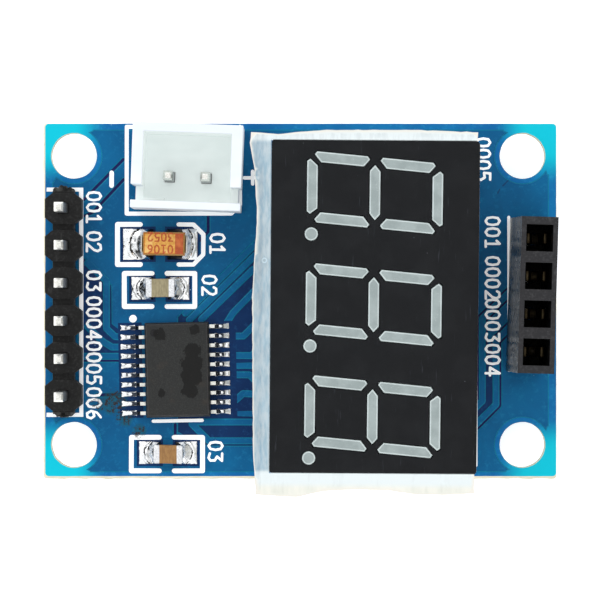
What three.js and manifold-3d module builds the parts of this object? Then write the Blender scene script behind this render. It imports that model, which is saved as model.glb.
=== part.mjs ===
// Display and power board of an ultrasonic distance sensor.
// Millimetres, +Z up, component side up. The origin is the centre of the board's underside.

import * as THREE from 'three';
import { mergeVertices } from 'three/addons/utils/BufferGeometryUtils.js';
import Module from 'manifold-3d';

const wasm = await Module();
wasm.setup();

// ---- driving dimensions -------------------------------------------------------------------

const BOARD = { length: 35, width: 24.2, thickness: 1.6 };
const CORNER_HOLES = { centreX: -0.17, spacingX: 30.72, spacingY: 19.8, diameter: 3.1 };
const PITCH = 2.54;
const TOP = BOARD.thickness;
const DRILL_SIDES = 12;

const HEADER = {
  x: -16.15, y: -0.1, ways: 6,
  width: 2.48, height: 2.5, lift: 0.02, cell: 2.08, cutX: 0.5, cutY: 0.4,
  neckWidth: 1.45, neckDrop: 0.35, neckStub: 0.13,
  pin: 0.64, pinTop: 8.5, tail: 3.0, tip: 0.25, clearance: 0.04, drill: 1.0,
};

const SOCKET = {
  x: 15.43, y: 0.37, turn: -1.65, lean: 2.6, ways: 4,
  width: 2.45, length: 10.46, height: 8.5, lift: 0.08,
  opening: 1.8, floor: 1.2, slot: 0.9,
  contactDepth: 0.7, contactHalf: 0.8, contactLift: 0.15, kneeHeight: 1.6,
  leaf: 0.2, pinch: 0.2, pinchHeight: 5.2, mouth: 0.48, leafTop: 6.4,
  tailWidth: 0.5, tail: 2.9, drill: 1.05,
};

const POWER = {
  x: -7.65, y: 8.98, turn: -2.1, ways: 2, pitch: 2.5,
  width: 7.4, depth: 5.75, height: 7.0, lift: 0.02,
  cavityWidth: 5.9, cavityDepth: 4.35, cavityY: 0.1, floor: 1.5,
  recessWidth: 3.1, recessDepth: 0.25,
  sideSlot: 1.05, sideSlotY: -1.83, sideSlotDrop: 4.2, grooveDepth: 0.2,
  pin: 0.64, pinTop: 6.2, pinY: -0.62, tail: 3.4, tip: 0.25, clearance: 0.04, drill: 1.0,
};

const CHIP = {
  x: -8.42, y: -4.74, turn: 1.2, pinsPerSide: 10, pitch: 0.65,
  width: 4.4, length: 6.5, height: 1.0, lift: 0.1, draft: 0.12, waist: 0.45,
  span: 6.4, leadWidth: 0.24, leadThickness: 0.15, foot: 0.6, gap: 0.02, solderGap: 0.02,
};

const TANTALUM = {
  x: -9.34, y: 3.87, turn: -1.0,
  length: 3.2, width: 1.6, height: 1.6, lift: 0.18, draft: 0.1, waist: 0.8,
  tabWidth: 1.2, tabThickness: 0.12, tabFoot: 0.8,
};

const CERAMICS = [
  { name: 'ceramic_capacitor_upper', x: -9.6, y: 0.85, turn: 0.6, color: 0xb5a58c },
  { name: 'ceramic_capacitor_lower', x: -9.06, y: -10.51, turn: -1.2, color: 0xa8703c },
];
const CERAMIC = { length: 2.0, width: 1.25, height: 1.0, round: 0.12, lift: 0.05 };

const DISPLAY = {
  x: 4.91, y: -0.43, turn: -0.68,
  width: 13.95, length: 22.4, height: 7.2, corner: 0.3, wall: 0.6, face: 1.2, lift: 0.05,
  digits: 3, digitPitch: 7.5, slant: 5.0,
  digitX: -0.03, digitY: 0.14, barRow: 4.2, barColumn: 2.03, midRow: 2.2,
  barLength: 3.83, barWidth: 0.82, barPeak: 0.22, barOuterCut: 0.16, barInnerCut: 0.42,
  dotX: -4.23, dotY: -2.81, dotDiameter: 1.0, dotSides: 16,
  gap: 0.05, boardThickness: 0.8, boardInset: 0.15,
  pinRows: 10.16, pinsLeft: 6, pinsRight: 5, pin: 0.45, pinTip: 0.1, pinTail: 3.0, pinBore: 0.8, drill: 0.9,
};

// the film's edges, anticlockwise in plan
const FILM = {
  thickness: 0.12, gap: 0.06,
  left: [[-3.3, 11.25], [-3.4, 10.5], [-3.1, 8.8], [-2.92, 5.9], [-3.25, 0.2], [-3.2, -10], [-3.0, -13.0]],
  bottom: [[-0.3, -13.15], [1.5, -12.75], [3.3, -12.65], [5.8, -12.7], [7.8, -13.0], [9.4, -13.0]],
  right: [[11.6, -12.9], [11.85, 11.25]],
  top: [[7.7, 11.4], [1.7, 11.4], [0, 11.28], [-1.55, 11.12]],
};

// ---- materials ----------------------------------------------------------------------------

const paint = (color, roughness, metalness = 0) =>
  new THREE.MeshStandardMaterial({ color, roughness, metalness });

const SOLDER_MASK = paint(0x125a92, 0.35);
const BLACK_NYLON = paint(0x1d1d1d, 0.6);
const WHITE_NYLON = paint(0xeef1f4, 0.4);
const TINNED = paint(0xd8d8d4, 0.25, 1);
const BRONZE = paint(0xc8a860, 0.3, 1);
const MOULD_COMPOUND = paint(0x2b2b2d, 0.6);
const AMBER_EPOXY = paint(0xd08a2c, 0.5);
const FACE_BLACK = paint(0x242527, 0.55);
const LIGHT_GUIDE = paint(0xb4c0c0, 0.4);
const FIBREGLASS = paint(0xc9c59a, 0.6);
const FILM_CLEAR = new THREE.MeshStandardMaterial({
  color: 0xe8f0f4, roughness: 0.3, transparent: true, opacity: 0.6,
});

// ---- helpers ------------------------------------------------------------------------------

const solidOf = (geometry) => {
  const bare = geometry.clone();
  bare.deleteAttribute('normal');
  bare.deleteAttribute('uv');
  const merged = mergeVertices(bare, 1e-5);
  return new wasm.Manifold(new wasm.Mesh({
    numProp: 3,
    vertProperties: new Float32Array(merged.attributes.position.array),
    triVerts: new Uint32Array(merged.index.array),
  }));
};

const geometryOf = (solid) => {
  const mesh = solid.getMesh();
  const geometry = new THREE.BufferGeometry();
  geometry.setAttribute('position', new THREE.BufferAttribute(mesh.vertProperties, 3));
  geometry.setIndex(new THREE.BufferAttribute(mesh.triVerts, 1));
  geometry.computeVertexNormals();
  return geometry;
};

const shapeOf = (points) => new THREE.Shape(points.map(([x, y]) => new THREE.Vector2(x, y)));

// an upright prism of the outline, from one height to another
const prism = (points, low, high) => {
  const geometry = new THREE.ExtrudeGeometry(shapeOf(points), { depth: high - low, bevelEnabled: false });
  return geometry.translate(0, 0, low);
};

// a prism of an outline in the X-Z plane, centred on Y and as deep as width
const sidePrism = (points, width) => {
  const geometry = new THREE.ExtrudeGeometry(shapeOf(points), { depth: width, bevelEnabled: false });
  return geometry.translate(0, 0, -width / 2).rotateX(Math.PI / 2);
};

const block = (width, depth, low, high, x = 0, y = 0) =>
  new THREE.BoxGeometry(width, depth, high - low).translate(x, y, (low + high) / 2);

const drillHole = (diameter, low, high, x, y, sides = DRILL_SIDES) =>
  new THREE.CylinderGeometry(diameter / 2, diameter / 2, high - low, sides)
    .rotateX(Math.PI / 2).translate(x, y, (low + high) / 2);

const cut = (geometry, tools) =>
  geometryOf(tools.reduce((solid, tool) => solid.subtract(solidOf(tool)), solidOf(geometry)));

const join = (geometry, others) =>
  geometryOf(others.reduce((solid, other) => solid.add(solidOf(other)), solidOf(geometry)));

const named = (name, geometry, material) => {
  const mesh = new THREE.Mesh(geometry, material.clone());
  mesh.name = name;
  return mesh;
};

const rectangle = (width, depth) => [
  [-width / 2, -depth / 2], [width / 2, -depth / 2], [width / 2, depth / 2], [-width / 2, depth / 2],
];

const roundedRectangle = (width, depth, radius, steps = 3) => {
  const corners = [[1, -1, -90], [1, 1, 0], [-1, 1, 90], [-1, -1, 180]];
  return corners.flatMap(([sx, sy, start]) => Array.from({ length: steps + 1 }, (_, i) => {
    const angle = THREE.MathUtils.degToRad(start + (90 * i) / steps);
    return [
      sx * (width / 2 - radius) + radius * Math.cos(angle),
      sy * (depth / 2 - radius) + radius * Math.sin(angle),
    ];
  }));
};

// a square pin with a blunt pyramid at each end
const squarePin = (side, low, high, tip) => {
  const half = side / 2;
  const blunt = half * 0.55;
  const rings = [[blunt, low], [half, low + tip], [half, high - tip], [blunt, high]];
  const positions = rings.flatMap(([r, z]) => [-r, -r, z, r, -r, z, r, r, z, -r, r, z]);
  const index = [0, 2, 1, 0, 3, 2];
  for (let ring = 0; ring < 3; ring += 1) {
    for (let corner = 0; corner < 4; corner += 1) {
      const a = ring * 4 + corner;
      const b = ring * 4 + ((corner + 1) % 4);
      index.push(a, b, b + 4, a, b + 4, a + 4);
    }
  }
  index.push(12, 13, 14, 12, 14, 15);
  const geometry = new THREE.BufferGeometry();
  geometry.setAttribute('position', new THREE.Float32BufferAttribute(positions, 3));
  geometry.setIndex(index);
  geometry.computeVertexNormals();
  return geometry;
};

// a moulded block, widest at its waist, that narrows by draft to its top and its bottom
const moulded = (width, depth, low, high, waist, draft) => {
  const rings = [[draft, low], [0, waist], [draft, high]];
  const positions = rings.flatMap(([inset, z]) =>
    rectangle(width - 2 * inset, depth - 2 * inset).flatMap(([x, y]) => [x, y, z]));
  const index = [0, 2, 1, 0, 3, 2];
  for (let ring = 0; ring < 2; ring += 1) {
    for (let corner = 0; corner < 4; corner += 1) {
      const a = ring * 4 + corner;
      const b = ring * 4 + ((corner + 1) % 4);
      index.push(a, b, b + 4, a, b + 4, a + 4);
    }
  }
  index.push(8, 9, 10, 8, 10, 11);
  const geometry = new THREE.BufferGeometry();
  geometry.setAttribute('position', new THREE.Float32BufferAttribute(positions, 3));
  geometry.setIndex(index);
  geometry.computeVertexNormals();
  return geometry;
};

const spread = (count, pitch) => Array.from({ length: count }, (_, i) => ((count - 1) / 2 - i) * pitch);

// a group that stands a component on the board's upper face
const station = ({ x, y, turn = 0 }) => {
  const group = new THREE.Group();
  group.position.set(x, y, TOP);
  group.rotation.z = THREE.MathUtils.degToRad(turn);
  return group;
};

// where a point of a component's own plan falls on the board
const onBoard = ({ x, y, turn = 0 }, [u, v]) => {
  const angle = THREE.MathUtils.degToRad(turn);
  return [
    x + u * Math.cos(angle) - v * Math.sin(angle),
    y + u * Math.sin(angle) + v * Math.cos(angle),
  ];
};

const two = (number) => String(number).padStart(2, '0');

// ---- pin plans, shared by the components and the board's drilling -------------------------

const headerPlan = spread(HEADER.ways, PITCH).map((v) => [0, v]);
const socketPlan = spread(SOCKET.ways, PITCH).map((v) => [0, v]);
const powerPlan = spread(POWER.ways, POWER.pitch).map((u) => [-u, POWER.pinY]);
const displayPlan = [
  ...spread(DISPLAY.pinsLeft, PITCH).map((v) => [-DISPLAY.pinRows / 2, v]),
  ...spread(DISPLAY.pinsRight, PITCH).map((v) => [DISPLAY.pinRows / 2, v]),
];

// the socket leans, so its tails meet the board beside the middle of its seat
const socketTailShift = -Math.sin(THREE.MathUtils.degToRad(SOCKET.lean)) * TOP / 2;

// ---- circuit board ------------------------------------------------------------------------

const circuitBoard = () => {
  const through = 1;
  const low = -through;
  const high = TOP + through;
  const holes = [];
  for (const sx of [-1, 1]) {
    for (const sy of [-1, 1]) {
      const x = CORNER_HOLES.centreX + (sx * CORNER_HOLES.spacingX) / 2;
      const y = (sy * CORNER_HOLES.spacingY) / 2;
      holes.push(drillHole(CORNER_HOLES.diameter, low, high, x, y, 32));
    }
  }
  const drilled = [
    [HEADER, headerPlan], [SOCKET, socketPlan.map(([u, v]) => [u + socketTailShift, v])],
    [POWER, powerPlan], [DISPLAY, displayPlan],
  ];
  for (const [part, plan] of drilled) {
    for (const point of plan) {
      const [x, y] = onBoard(part, point);
      holes.push(drillHole(part.drill, low, high, x, y));
    }
  }
  return named('circuit_board', cut(block(BOARD.length, BOARD.width, 0, TOP), holes), SOLDER_MASK);
};

// ---- six-way pin header -------------------------------------------------------------------

const header = () => {
  const group = station(HEADER);
  const half = HEADER.width / 2;
  const rows = spread(HEADER.ways, PITCH);
  const cellPoints = (v) => [
    [-half + HEADER.cutX, v - HEADER.cell / 2], [half - HEADER.cutX, v - HEADER.cell / 2],
    [half, v - HEADER.cell / 2 + HEADER.cutY], [half, v + HEADER.cell / 2 - HEADER.cutY],
    [half - HEADER.cutX, v + HEADER.cell / 2], [-half + HEADER.cutX, v + HEADER.cell / 2],
    [-half, v + HEADER.cell / 2 - HEADER.cutY], [-half, v - HEADER.cell / 2 + HEADER.cutY],
  ];
  const cells = rows.map((v) => prism(cellPoints(v), HEADER.lift, HEADER.height));
  const spineLength = PITCH * (HEADER.ways - 1) + HEADER.cell + 2 * HEADER.neckStub;
  const spine = block(HEADER.neckWidth, spineLength, HEADER.lift, HEADER.height - HEADER.neckDrop);
  const bore = HEADER.pin + 2 * HEADER.clearance;
  const bores = rows.map((v) => block(bore, bore, -1, HEADER.height + 1, 0, v));
  group.add(named('pin_header_housing', cut(join(spine, cells), bores), BLACK_NYLON));
  rows.forEach((v, i) => {
    const shape = squarePin(HEADER.pin, -HEADER.tail, HEADER.pinTop, HEADER.tip);
    const pin = named(`header_pin_${i + 1}`, shape, TINNED);
    pin.position.set(0, v, 0);
    group.add(pin);
  });
  return group;
};

// ---- four-way socket ----------------------------------------------------------------------

// a fork with two sprung leaves, on one tail
const contactOutline = () => {
  const { contactHalf, leaf, pinch, pinchHeight, mouth, leafTop, tailWidth, tail } = SOCKET;
  const base = SOCKET.floor + SOCKET.contactLift;
  const knee = base + SOCKET.kneeHeight;
  const inner = contactHalf - leaf;
  const right = [
    [tailWidth / 2, -tail], [tailWidth / 2, base], [contactHalf, base], [contactHalf, knee],
    [pinch + leaf, pinchHeight], [mouth + leaf, leafTop], [mouth, leafTop], [pinch, pinchHeight],
    [inner, knee], [inner, base + leaf],
  ];
  const left = right.map(([x, z]) => [-x, z]).reverse();
  return [...right, ...left];
};

const socket = () => {
  const group = station(SOCKET);
  const leaning = new THREE.Group();
  leaning.rotation.y = THREE.MathUtils.degToRad(SOCKET.lean);
  leaning.position.z = SOCKET.lift;
  group.add(leaning);
  const pockets = socketPlan.map(([u, v]) =>
    block(SOCKET.opening, SOCKET.opening, SOCKET.floor, SOCKET.height + 1, u, v));
  const slots = socketPlan.map(([u, v]) =>
    block(SOCKET.slot, SOCKET.slot, -1, SOCKET.floor + 1, u, v));
  const body = block(SOCKET.width, SOCKET.length, 0, SOCKET.height);
  leaning.add(named('socket_housing', cut(body, [...pockets, ...slots]), BLACK_NYLON));
  socketPlan.forEach(([u, v], i) => {
    const spring = sidePrism(contactOutline(), SOCKET.contactDepth);
    const contact = named(`socket_contact_${i + 1}`, spring, BRONZE);
    contact.position.set(u, v, 0);
    leaning.add(contact);
  });
  return group;
};

// ---- two-way shrouded power connector -----------------------------------------------------

const powerConnector = () => {
  const group = station(POWER);
  const over = 1;
  const cavityFront = POWER.cavityY - POWER.cavityDepth / 2;
  const slotLow = POWER.height - POWER.sideSlotDrop;
  const bore = POWER.pin + 2 * POWER.clearance;
  const body = block(POWER.width, POWER.depth, POWER.lift, POWER.height);
  const tools = [
    block(POWER.cavityWidth, POWER.cavityDepth, POWER.floor, POWER.height + over, 0, POWER.cavityY),
    block(POWER.recessWidth, 2 * POWER.recessDepth, POWER.floor, POWER.height + over, 0, cavityFront),
    block(POWER.width + 2 * over, POWER.sideSlot, slotLow, POWER.height + over, 0, POWER.sideSlotY),
  ];
  for (const side of [-1, 1]) {
    const x = (side * POWER.width) / 2;
    tools.push(block(2 * POWER.grooveDepth, POWER.sideSlot, -over, slotLow + 0.1, x, POWER.sideSlotY));
  }
  for (const [u, v] of powerPlan) {
    tools.push(block(bore, bore, -over, POWER.floor + over, u, v));
  }
  group.add(named('power_connector_housing', cut(body, tools), WHITE_NYLON));
  powerPlan.forEach(([u, v], i) => {
    const shape = squarePin(POWER.pin, -POWER.tail, POWER.pinTop, POWER.tip);
    const pin = named(`power_pin_${i + 1}`, shape, TINNED);
    pin.position.set(u, v, 0);
    group.add(pin);
  });
  return group;
};

// ---- chip with twenty gull-wing leads -----------------------------------------------------

// one lead of the chip's +X side: out of the body, down, and along the pad
const leadOutline = () => {
  const { width, span, waist, leadThickness: thick, lift, foot } = CHIP;
  const start = width / 2 + CHIP.gap;
  const end = span / 2;
  const sole = CHIP.solderGap;
  const upper = waist + lift + thick / 2;
  const lower = upper - thick;
  const heel = end - foot + 0.12;
  return [
    [start, lower], [heel - 0.22, lower], [heel - 0.14, lower - 0.08], [heel - 0.08, sole + 0.08],
    [heel, sole], [end, sole], [end, sole + thick], [heel + 0.1, sole + thick],
    [heel + 0.04, sole + thick + 0.06], [heel - 0.02, upper - 0.1], [heel - 0.12, upper], [start, upper],
  ];
};

const chip = () => {
  const group = station(CHIP);
  const { width, length, height, lift, waist, draft } = CHIP;
  const body = moulded(width, length, lift, lift + height, lift + waist, draft);
  group.add(named('chip_body', body, MOULD_COMPOUND));
  const rows = spread(CHIP.pinsPerSide, CHIP.pitch);
  const lead = (number, v, turned) => {
    const mesh = named(`chip_lead_${two(number)}`, sidePrism(leadOutline(), CHIP.leadWidth), TINNED);
    mesh.position.set(0, v, 0);
    mesh.rotation.z = turned ? Math.PI : 0;
    group.add(mesh);
  };
  rows.forEach((v, i) => lead(i + 1, v, true));
  rows.forEach((v, i) => lead(2 * CHIP.pinsPerSide - i, v, false));
  return group;
};

// ---- capacitors ---------------------------------------------------------------------------

// one folded terminal of the +X end, from the body's waist down and under it
const terminalOutline = () => {
  const { length, tabThickness: thick, tabFoot, waist, lift } = TANTALUM;
  const end = length / 2;
  const low = 0.02;
  return [
    [end - tabFoot, low], [end, low], [end, waist + lift], [end - thick, waist + lift],
    [end - thick, low + thick], [end - tabFoot, low + thick],
  ];
};

const tantalumCapacitor = () => {
  const group = station(TANTALUM);
  const { length, width, height, lift, waist, draft, tabThickness } = TANTALUM;
  const bodyLength = length - 2 * tabThickness - 0.06;
  const body = moulded(bodyLength, width, lift, height, waist, draft);
  group.add(named('tantalum_capacitor_body', body, AMBER_EPOXY));
  const terminal = (name, turned) => {
    const mesh = named(name, sidePrism(terminalOutline(), TANTALUM.tabWidth), TINNED);
    mesh.rotation.z = turned ? Math.PI : 0;
    group.add(mesh);
  };
  terminal('tantalum_terminal_negative', true);
  terminal('tantalum_terminal_positive', false);
  return group;
};

const ceramicCapacitor = (place) => {
  const group = station(place);
  const outline = roundedRectangle(CERAMIC.length, CERAMIC.width, CERAMIC.round, 2);
  const body = prism(outline, CERAMIC.lift, CERAMIC.lift + CERAMIC.height);
  group.add(named(place.name, body, paint(place.color, 0.5)));
  return group;
};

// ---- three-digit display ------------------------------------------------------------------

// a bar of a digit: s along it, t towards the digit's outside, pointed at both ends
const barOutline = (shrink, middle) => {
  const half = DISPLAY.barLength / 2 - 1.3 * shrink;
  const side = DISPLAY.barWidth / 2 - shrink;
  const peak = middle ? 0 : side - DISPLAY.barPeak;
  const outer = middle ? DISPLAY.barInnerCut : DISPLAY.barOuterCut;
  const inner = DISPLAY.barInnerCut;
  return [
    [-half, peak], [-half + inner, -side], [half - inner, -side],
    [half, peak], [half - outer, side], [-half + outer, side],
  ];
};

// The digits lie on their sides: their tops point to +X. Each bar is placed by its centre, and
// turned so that t points out of the digit.
const digitBars = () => {
  const { barRow, barColumn, midRow } = DISPLAY;
  return [
    { u: barRow, v: 0, turn: -90 }, { u: 0, v: 0, turn: 90, middle: true }, { u: -barRow, v: 0, turn: 90 },
    { u: midRow, v: barColumn, turn: 0 }, { u: -midRow, v: barColumn, turn: 0 },
    { u: midRow, v: -barColumn, turn: 180 }, { u: -midRow, v: -barColumn, turn: 180 },
  ];
};

const windowOutlines = (shrink) => {
  const slope = Math.tan(THREE.MathUtils.degToRad(DISPLAY.slant));
  const outlines = [];
  for (const row of spread(DISPLAY.digits, DISPLAY.digitPitch)) {
    for (const { u, v, turn, middle = false } of digitBars()) {
      const points = barOutline(shrink, middle).map((point) => onBoard({ x: u, y: v, turn }, point));
      outlines.push(points.map(([x, y]) => [x + DISPLAY.digitX, y - slope * x + row + DISPLAY.digitY]));
    }
    const radius = DISPLAY.dotDiameter / 2 - shrink;
    outlines.push(Array.from({ length: DISPLAY.dotSides }, (_, i) => {
      const angle = (2 * Math.PI * i) / DISPLAY.dotSides;
      return [
        DISPLAY.digitX + DISPLAY.dotX + radius * Math.cos(angle),
        DISPLAY.digitY + DISPLAY.dotY + row + radius * Math.sin(angle),
      ];
    }));
  }
  return outlines;
};

const display = () => {
  const group = station(DISPLAY);
  const { width, length, height, corner, wall, lift, gap, boardInset } = DISPLAY;
  const over = 1;
  const pocketTop = height - DISPLAY.face;
  const pocketWidth = width - 2 * wall;
  const pocketLength = length - 2 * wall;
  const windows = windowOutlines(0).map((points) => prism(points, pocketTop - over, height + over));
  const pocket = block(pocketWidth, pocketLength, -over, pocketTop);
  const shell = prism(roundedRectangle(width, length, corner), lift, height);
  group.add(named('display_shell', cut(shell, [pocket, ...windows]), FACE_BLACK));

  const boardTop = lift + DISPLAY.boardThickness;
  const fillTop = pocketTop - gap;
  const fill = block(pocketWidth - 2 * gap, pocketLength - 2 * gap, boardTop + gap, fillTop);
  const guides = windowOutlines(gap).map((points) => prism(points, fillTop - gap, height - gap / 2));
  group.add(named('display_light_guide', join(fill, guides), LIGHT_GUIDE));

  const carrier = block(pocketWidth - 2 * boardInset, pocketLength - 2 * boardInset, lift, boardTop);
  const bores = displayPlan.map(([u, v]) => drillHole(DISPLAY.pinBore, -over, boardTop + over, u, v));
  group.add(named('display_led_board', cut(carrier, bores), FIBREGLASS));

  displayPlan.forEach(([u, v], i) => {
    const shape = squarePin(DISPLAY.pin, -DISPLAY.pinTail, boardTop, DISPLAY.pinTip);
    const pin = named(`display_pin_${two(i + 1)}`, shape, TINNED);
    pin.position.set(u, v, 0);
    group.add(pin);
  });
  return group;
};

// ---- protective film ----------------------------------------------------------------------

// The film was cut by hand: wider than the display's face at the left, the top and the bottom.
const protectiveFilm = () => {
  const { left, bottom, right, top, thickness, gap } = FILM;
  const low = TOP + DISPLAY.height + gap;
  const outline = [...left, ...bottom, ...right, ...top];
  return named('protective_film', prism(outline, low, low + thickness), FILM_CLEAR);
};

// ---- assembly -----------------------------------------------------------------------------

const board = new THREE.Group();
board.name = 'ultrasonic_display_board';
board.add(circuitBoard(), header(), socket(), powerConnector(), chip(), tantalumCapacitor());
board.add(...CERAMICS.map(ceramicCapacitor), display(), protectiveFilm());

export default board;
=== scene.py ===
"""Display and power board of an ultrasonic distance sensor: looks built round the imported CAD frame.

The script works in millimetres in the frame's own axes and scales to metres when a mesh is made.
"""

import math

import bmesh
import bpy
import numpy as np
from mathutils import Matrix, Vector, noise
from mathutils.geometry import delaunay_2d_cdt


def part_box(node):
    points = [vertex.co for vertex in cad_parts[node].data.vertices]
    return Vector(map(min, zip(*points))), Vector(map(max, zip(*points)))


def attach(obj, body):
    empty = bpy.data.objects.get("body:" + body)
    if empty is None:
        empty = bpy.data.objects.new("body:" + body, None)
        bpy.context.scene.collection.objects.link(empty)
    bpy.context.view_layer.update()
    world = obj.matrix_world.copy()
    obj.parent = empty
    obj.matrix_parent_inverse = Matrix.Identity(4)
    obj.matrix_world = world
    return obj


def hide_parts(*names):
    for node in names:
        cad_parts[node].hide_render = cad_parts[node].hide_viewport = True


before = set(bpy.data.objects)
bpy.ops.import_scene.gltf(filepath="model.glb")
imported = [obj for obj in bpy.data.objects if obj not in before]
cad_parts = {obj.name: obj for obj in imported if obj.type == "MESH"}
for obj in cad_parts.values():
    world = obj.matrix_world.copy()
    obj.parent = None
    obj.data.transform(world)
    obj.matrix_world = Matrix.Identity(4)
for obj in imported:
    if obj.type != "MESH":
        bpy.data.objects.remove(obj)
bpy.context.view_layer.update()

MM = 0.001

# ---- driving dimensions, in millimetres -----------------------------------------------------

CAMERA_HEIGHT = 312.0       # above the board's top
CAMERA_AXIS = (-0.048, 0.027)
VIEW_SCALE = 14.6           # image steps per millimetre at the board's top, in a frame of 600
FRAME_SIDE = 600

COPPER_RISE = 0.035         # copper under the mask stands this far above bare laminate
MASK_DEPTH = 0.05           # how far the mask layer reaches down from the board's top
INK_RISE = 0.02
RIM = 0.07                  # width of the sloped edge of the copper
EDGE_LIP = {"left": 0.15, "bottom": 0.19, "right": 0.06, "top": 0.03}
CORNER_ROUND = 0.25
HOLE_CLEARANCE = 0.33       # bare ring round a corner hole
BORE_INSET = 0.3            # how far a pin's drilled hole stays inside its land
PAD_CLEARANCE = 0.16        # bare border round a tinned land
LUMP_DEPTH = 0.02           # how far a lump on the board is sunk into it

INK = 0.27                  # width of a printed line
TRACK = 0.33
GAP = 0.2
LABEL_HEIGHT = 0.96
LABEL_STEP = 0.77
DIGIT_LINE = 0.165

SHARP = 25                  # edges of the CAD that are sharper than this are rounded, in degrees
HOLE_SIDES = 48
BORE_SIDES = 20
CAP_STEPS = 6               # straight parts in the round end of a line
FILM_THICKNESS = 0.1
FILM_GRID = 0.5

PINS = [f"header_pin_{i}" for i in range(1, 7)]
CONTACTS = [f"socket_contact_{i}" for i in range(1, 5)]
POWER_PINS = [f"power_pin_{i}" for i in range(1, 3)]
LEADS = [f"chip_lead_{i:02d}" for i in range(1, 21)]
DISPLAY_PINS = [f"display_pin_{i:02d}" for i in range(1, 12)]

# the pins that go through the board, and the radius of their lands
PIN_GROUPS = {"header": (PINS, 0.8), "socket": (CONTACTS, 0.78), "power": (POWER_PINS, 0.85),
              "display": (DISPLAY_PINS, 0.68)}
THROUGH_PINS = [(pin, land) for pins, land in PIN_GROUPS.values() for pin in pins]


def points_of(node):
    """The corners of a CAD node, in millimetres."""
    return [vertex.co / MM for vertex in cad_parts[node].data.vertices]


def box(node):
    """Lowest and highest corner of a CAD node, in millimetres."""
    low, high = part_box(node)
    return low / MM, high / MM


def middle(node):
    low, high = box(node)
    return (low + high) / 2


def heading(node):
    """Turn of a CAD node about Z, from the direction of its longest level edge, within 45 degrees."""
    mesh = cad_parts[node].data
    best, angle = 0.0, 0.0
    for a, b in mesh.edge_keys:
        step = mesh.vertices[b].co - mesh.vertices[a].co
        flat = math.hypot(step.x, step.y)
        if flat > best and abs(step.z) < 1e-6:
            turn = math.degrees(math.atan2(step.y, step.x)) % 90
            turn = turn - 90 if turn > 45 else turn
            if abs(turn) < 10:
                best, angle = flat, math.radians(turn)
    return angle


BOARD_LOW, BOARD_HIGH = box("circuit_board")
TOP = BOARD_HIGH.z

# ---- meshes ---------------------------------------------------------------------------------


def add_piece(name, slot, mesh, materials, marks=None, smooth=None, nodes=(), body="board"):
    """Puts a mesh on a CAD body as a piece that stands for some nodes. marks gives each face's material,
    and smooth the sharpest angle that is shaded smooth."""
    for material in materials:
        mesh.materials.append(material)
    if marks is not None:
        mesh.polygons.foreach_set("material_index", marks)
    if smooth is not None:
        mesh.polygons.foreach_set("use_smooth", [True] * len(mesh.polygons))
        mesh.set_sharp_from_angle(angle=math.radians(smooth))
    mesh.update()
    piece = bpy.data.objects.new(name, mesh)
    bpy.context.scene.collection.objects.link(piece)
    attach(piece, body)
    if nodes:
        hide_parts(*nodes)
    return piece


def new_piece(name, slot, shape, materials, **options):
    """A piece from points and faces in millimetres."""
    points, faces = shape
    mesh = bpy.data.meshes.new(name)
    mesh.from_pydata([[float(c) * MM for c in point] for point in points], [], faces)
    return add_piece(name, slot, mesh, materials, **options)


def refined(node, name, slot, materials, edge=0.06, segments=2, pick=None, rim=0.0):
    """A copy of a CAD node with its edges rounded. The second material is for the rounded edges, unless
    pick(centre, normal) gives each face its own. A rim is a border of that width on top faces."""
    build = bmesh.new()
    build.from_mesh(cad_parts[node].data)
    bmesh.ops.remove_doubles(build, verts=build.verts, dist=1e-6)
    bmesh.ops.dissolve_limit(build, angle_limit=math.radians(1), verts=build.verts, edges=build.edges)
    sharp = [e for e in build.edges if e.is_manifold and e.calc_face_angle() > math.radians(SHARP)]
    made = bmesh.ops.bevel(build, geom=sharp, offset=edge * MM, segments=segments, profile=0.5,
                           affect="EDGES", clamp_overlap=True)
    build.normal_update()
    if pick:
        for face in build.faces:
            face.material_index = pick(face.calc_center_median() / MM, face.normal)
    else:
        for face in made["faces"]:
            face.material_index = 1
    if rim:
        near_top = max(v.co.z for v in build.verts) - 0.01 * MM
        tops = [f for f in build.faces if f.normal.z > 0.99 and f.calc_center_median().z > near_top]
        border = bmesh.ops.inset_individual(build, faces=tops, thickness=rim * MM, use_even_offset=True)
        for face in border["faces"]:
            face.material_index = 1
    bmesh.ops.triangulate(build, faces=[f for f in build.faces if len(f.verts) > 4])
    mesh = bpy.data.meshes.new(name)
    build.to_mesh(mesh)
    build.free()
    piece = add_piece(name, slot, mesh, materials, smooth=50, nodes=[node])
    even = piece.modifiers.new("even_shading", "WEIGHTED_NORMAL")
    even.keep_sharp = True
    return piece


def ripple(x, y, size, amount, seed=0.0):
    """Smooth noise over the board's plane, between -amount and amount."""
    return amount * noise.noise(Vector((x / size, y / size, seed)))


class Plan:
    """A turned place on the board: local u and v give board x and y."""

    def __init__(self, x, y, turn=0.0):
        self.x = x
        self.y = y
        self.cos = math.cos(turn)
        self.sin = math.sin(turn)

    def at(self, u, v):
        return (self.x + u * self.cos - v * self.sin, self.y + u * self.sin + v * self.cos)

    def rectangle(self, u0, v0, u1, v1):
        return [self.at(u0, v0), self.at(u1, v0), self.at(u1, v1), self.at(u0, v1)]


def plan_of(node):
    """The middle of a CAD node as a turned place."""
    centre = middle(node)
    return Plan(centre.x, centre.y, heading(node))


def inside(outline, points):
    """Which of the points lie inside a closed outline."""
    x = points[:, 0]
    y = points[:, 1]
    hit = np.zeros(len(points), bool)
    for (x0, y0), (x1, y1) in zip(outline, np.roll(outline, -1, axis=0)):
        if y0 != y1:
            crosses = (y0 > y) != (y1 > y)
            hit ^= crosses & (x < x0 + (y - y0) * (x1 - x0) / (y1 - y0))
    return hit


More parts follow.
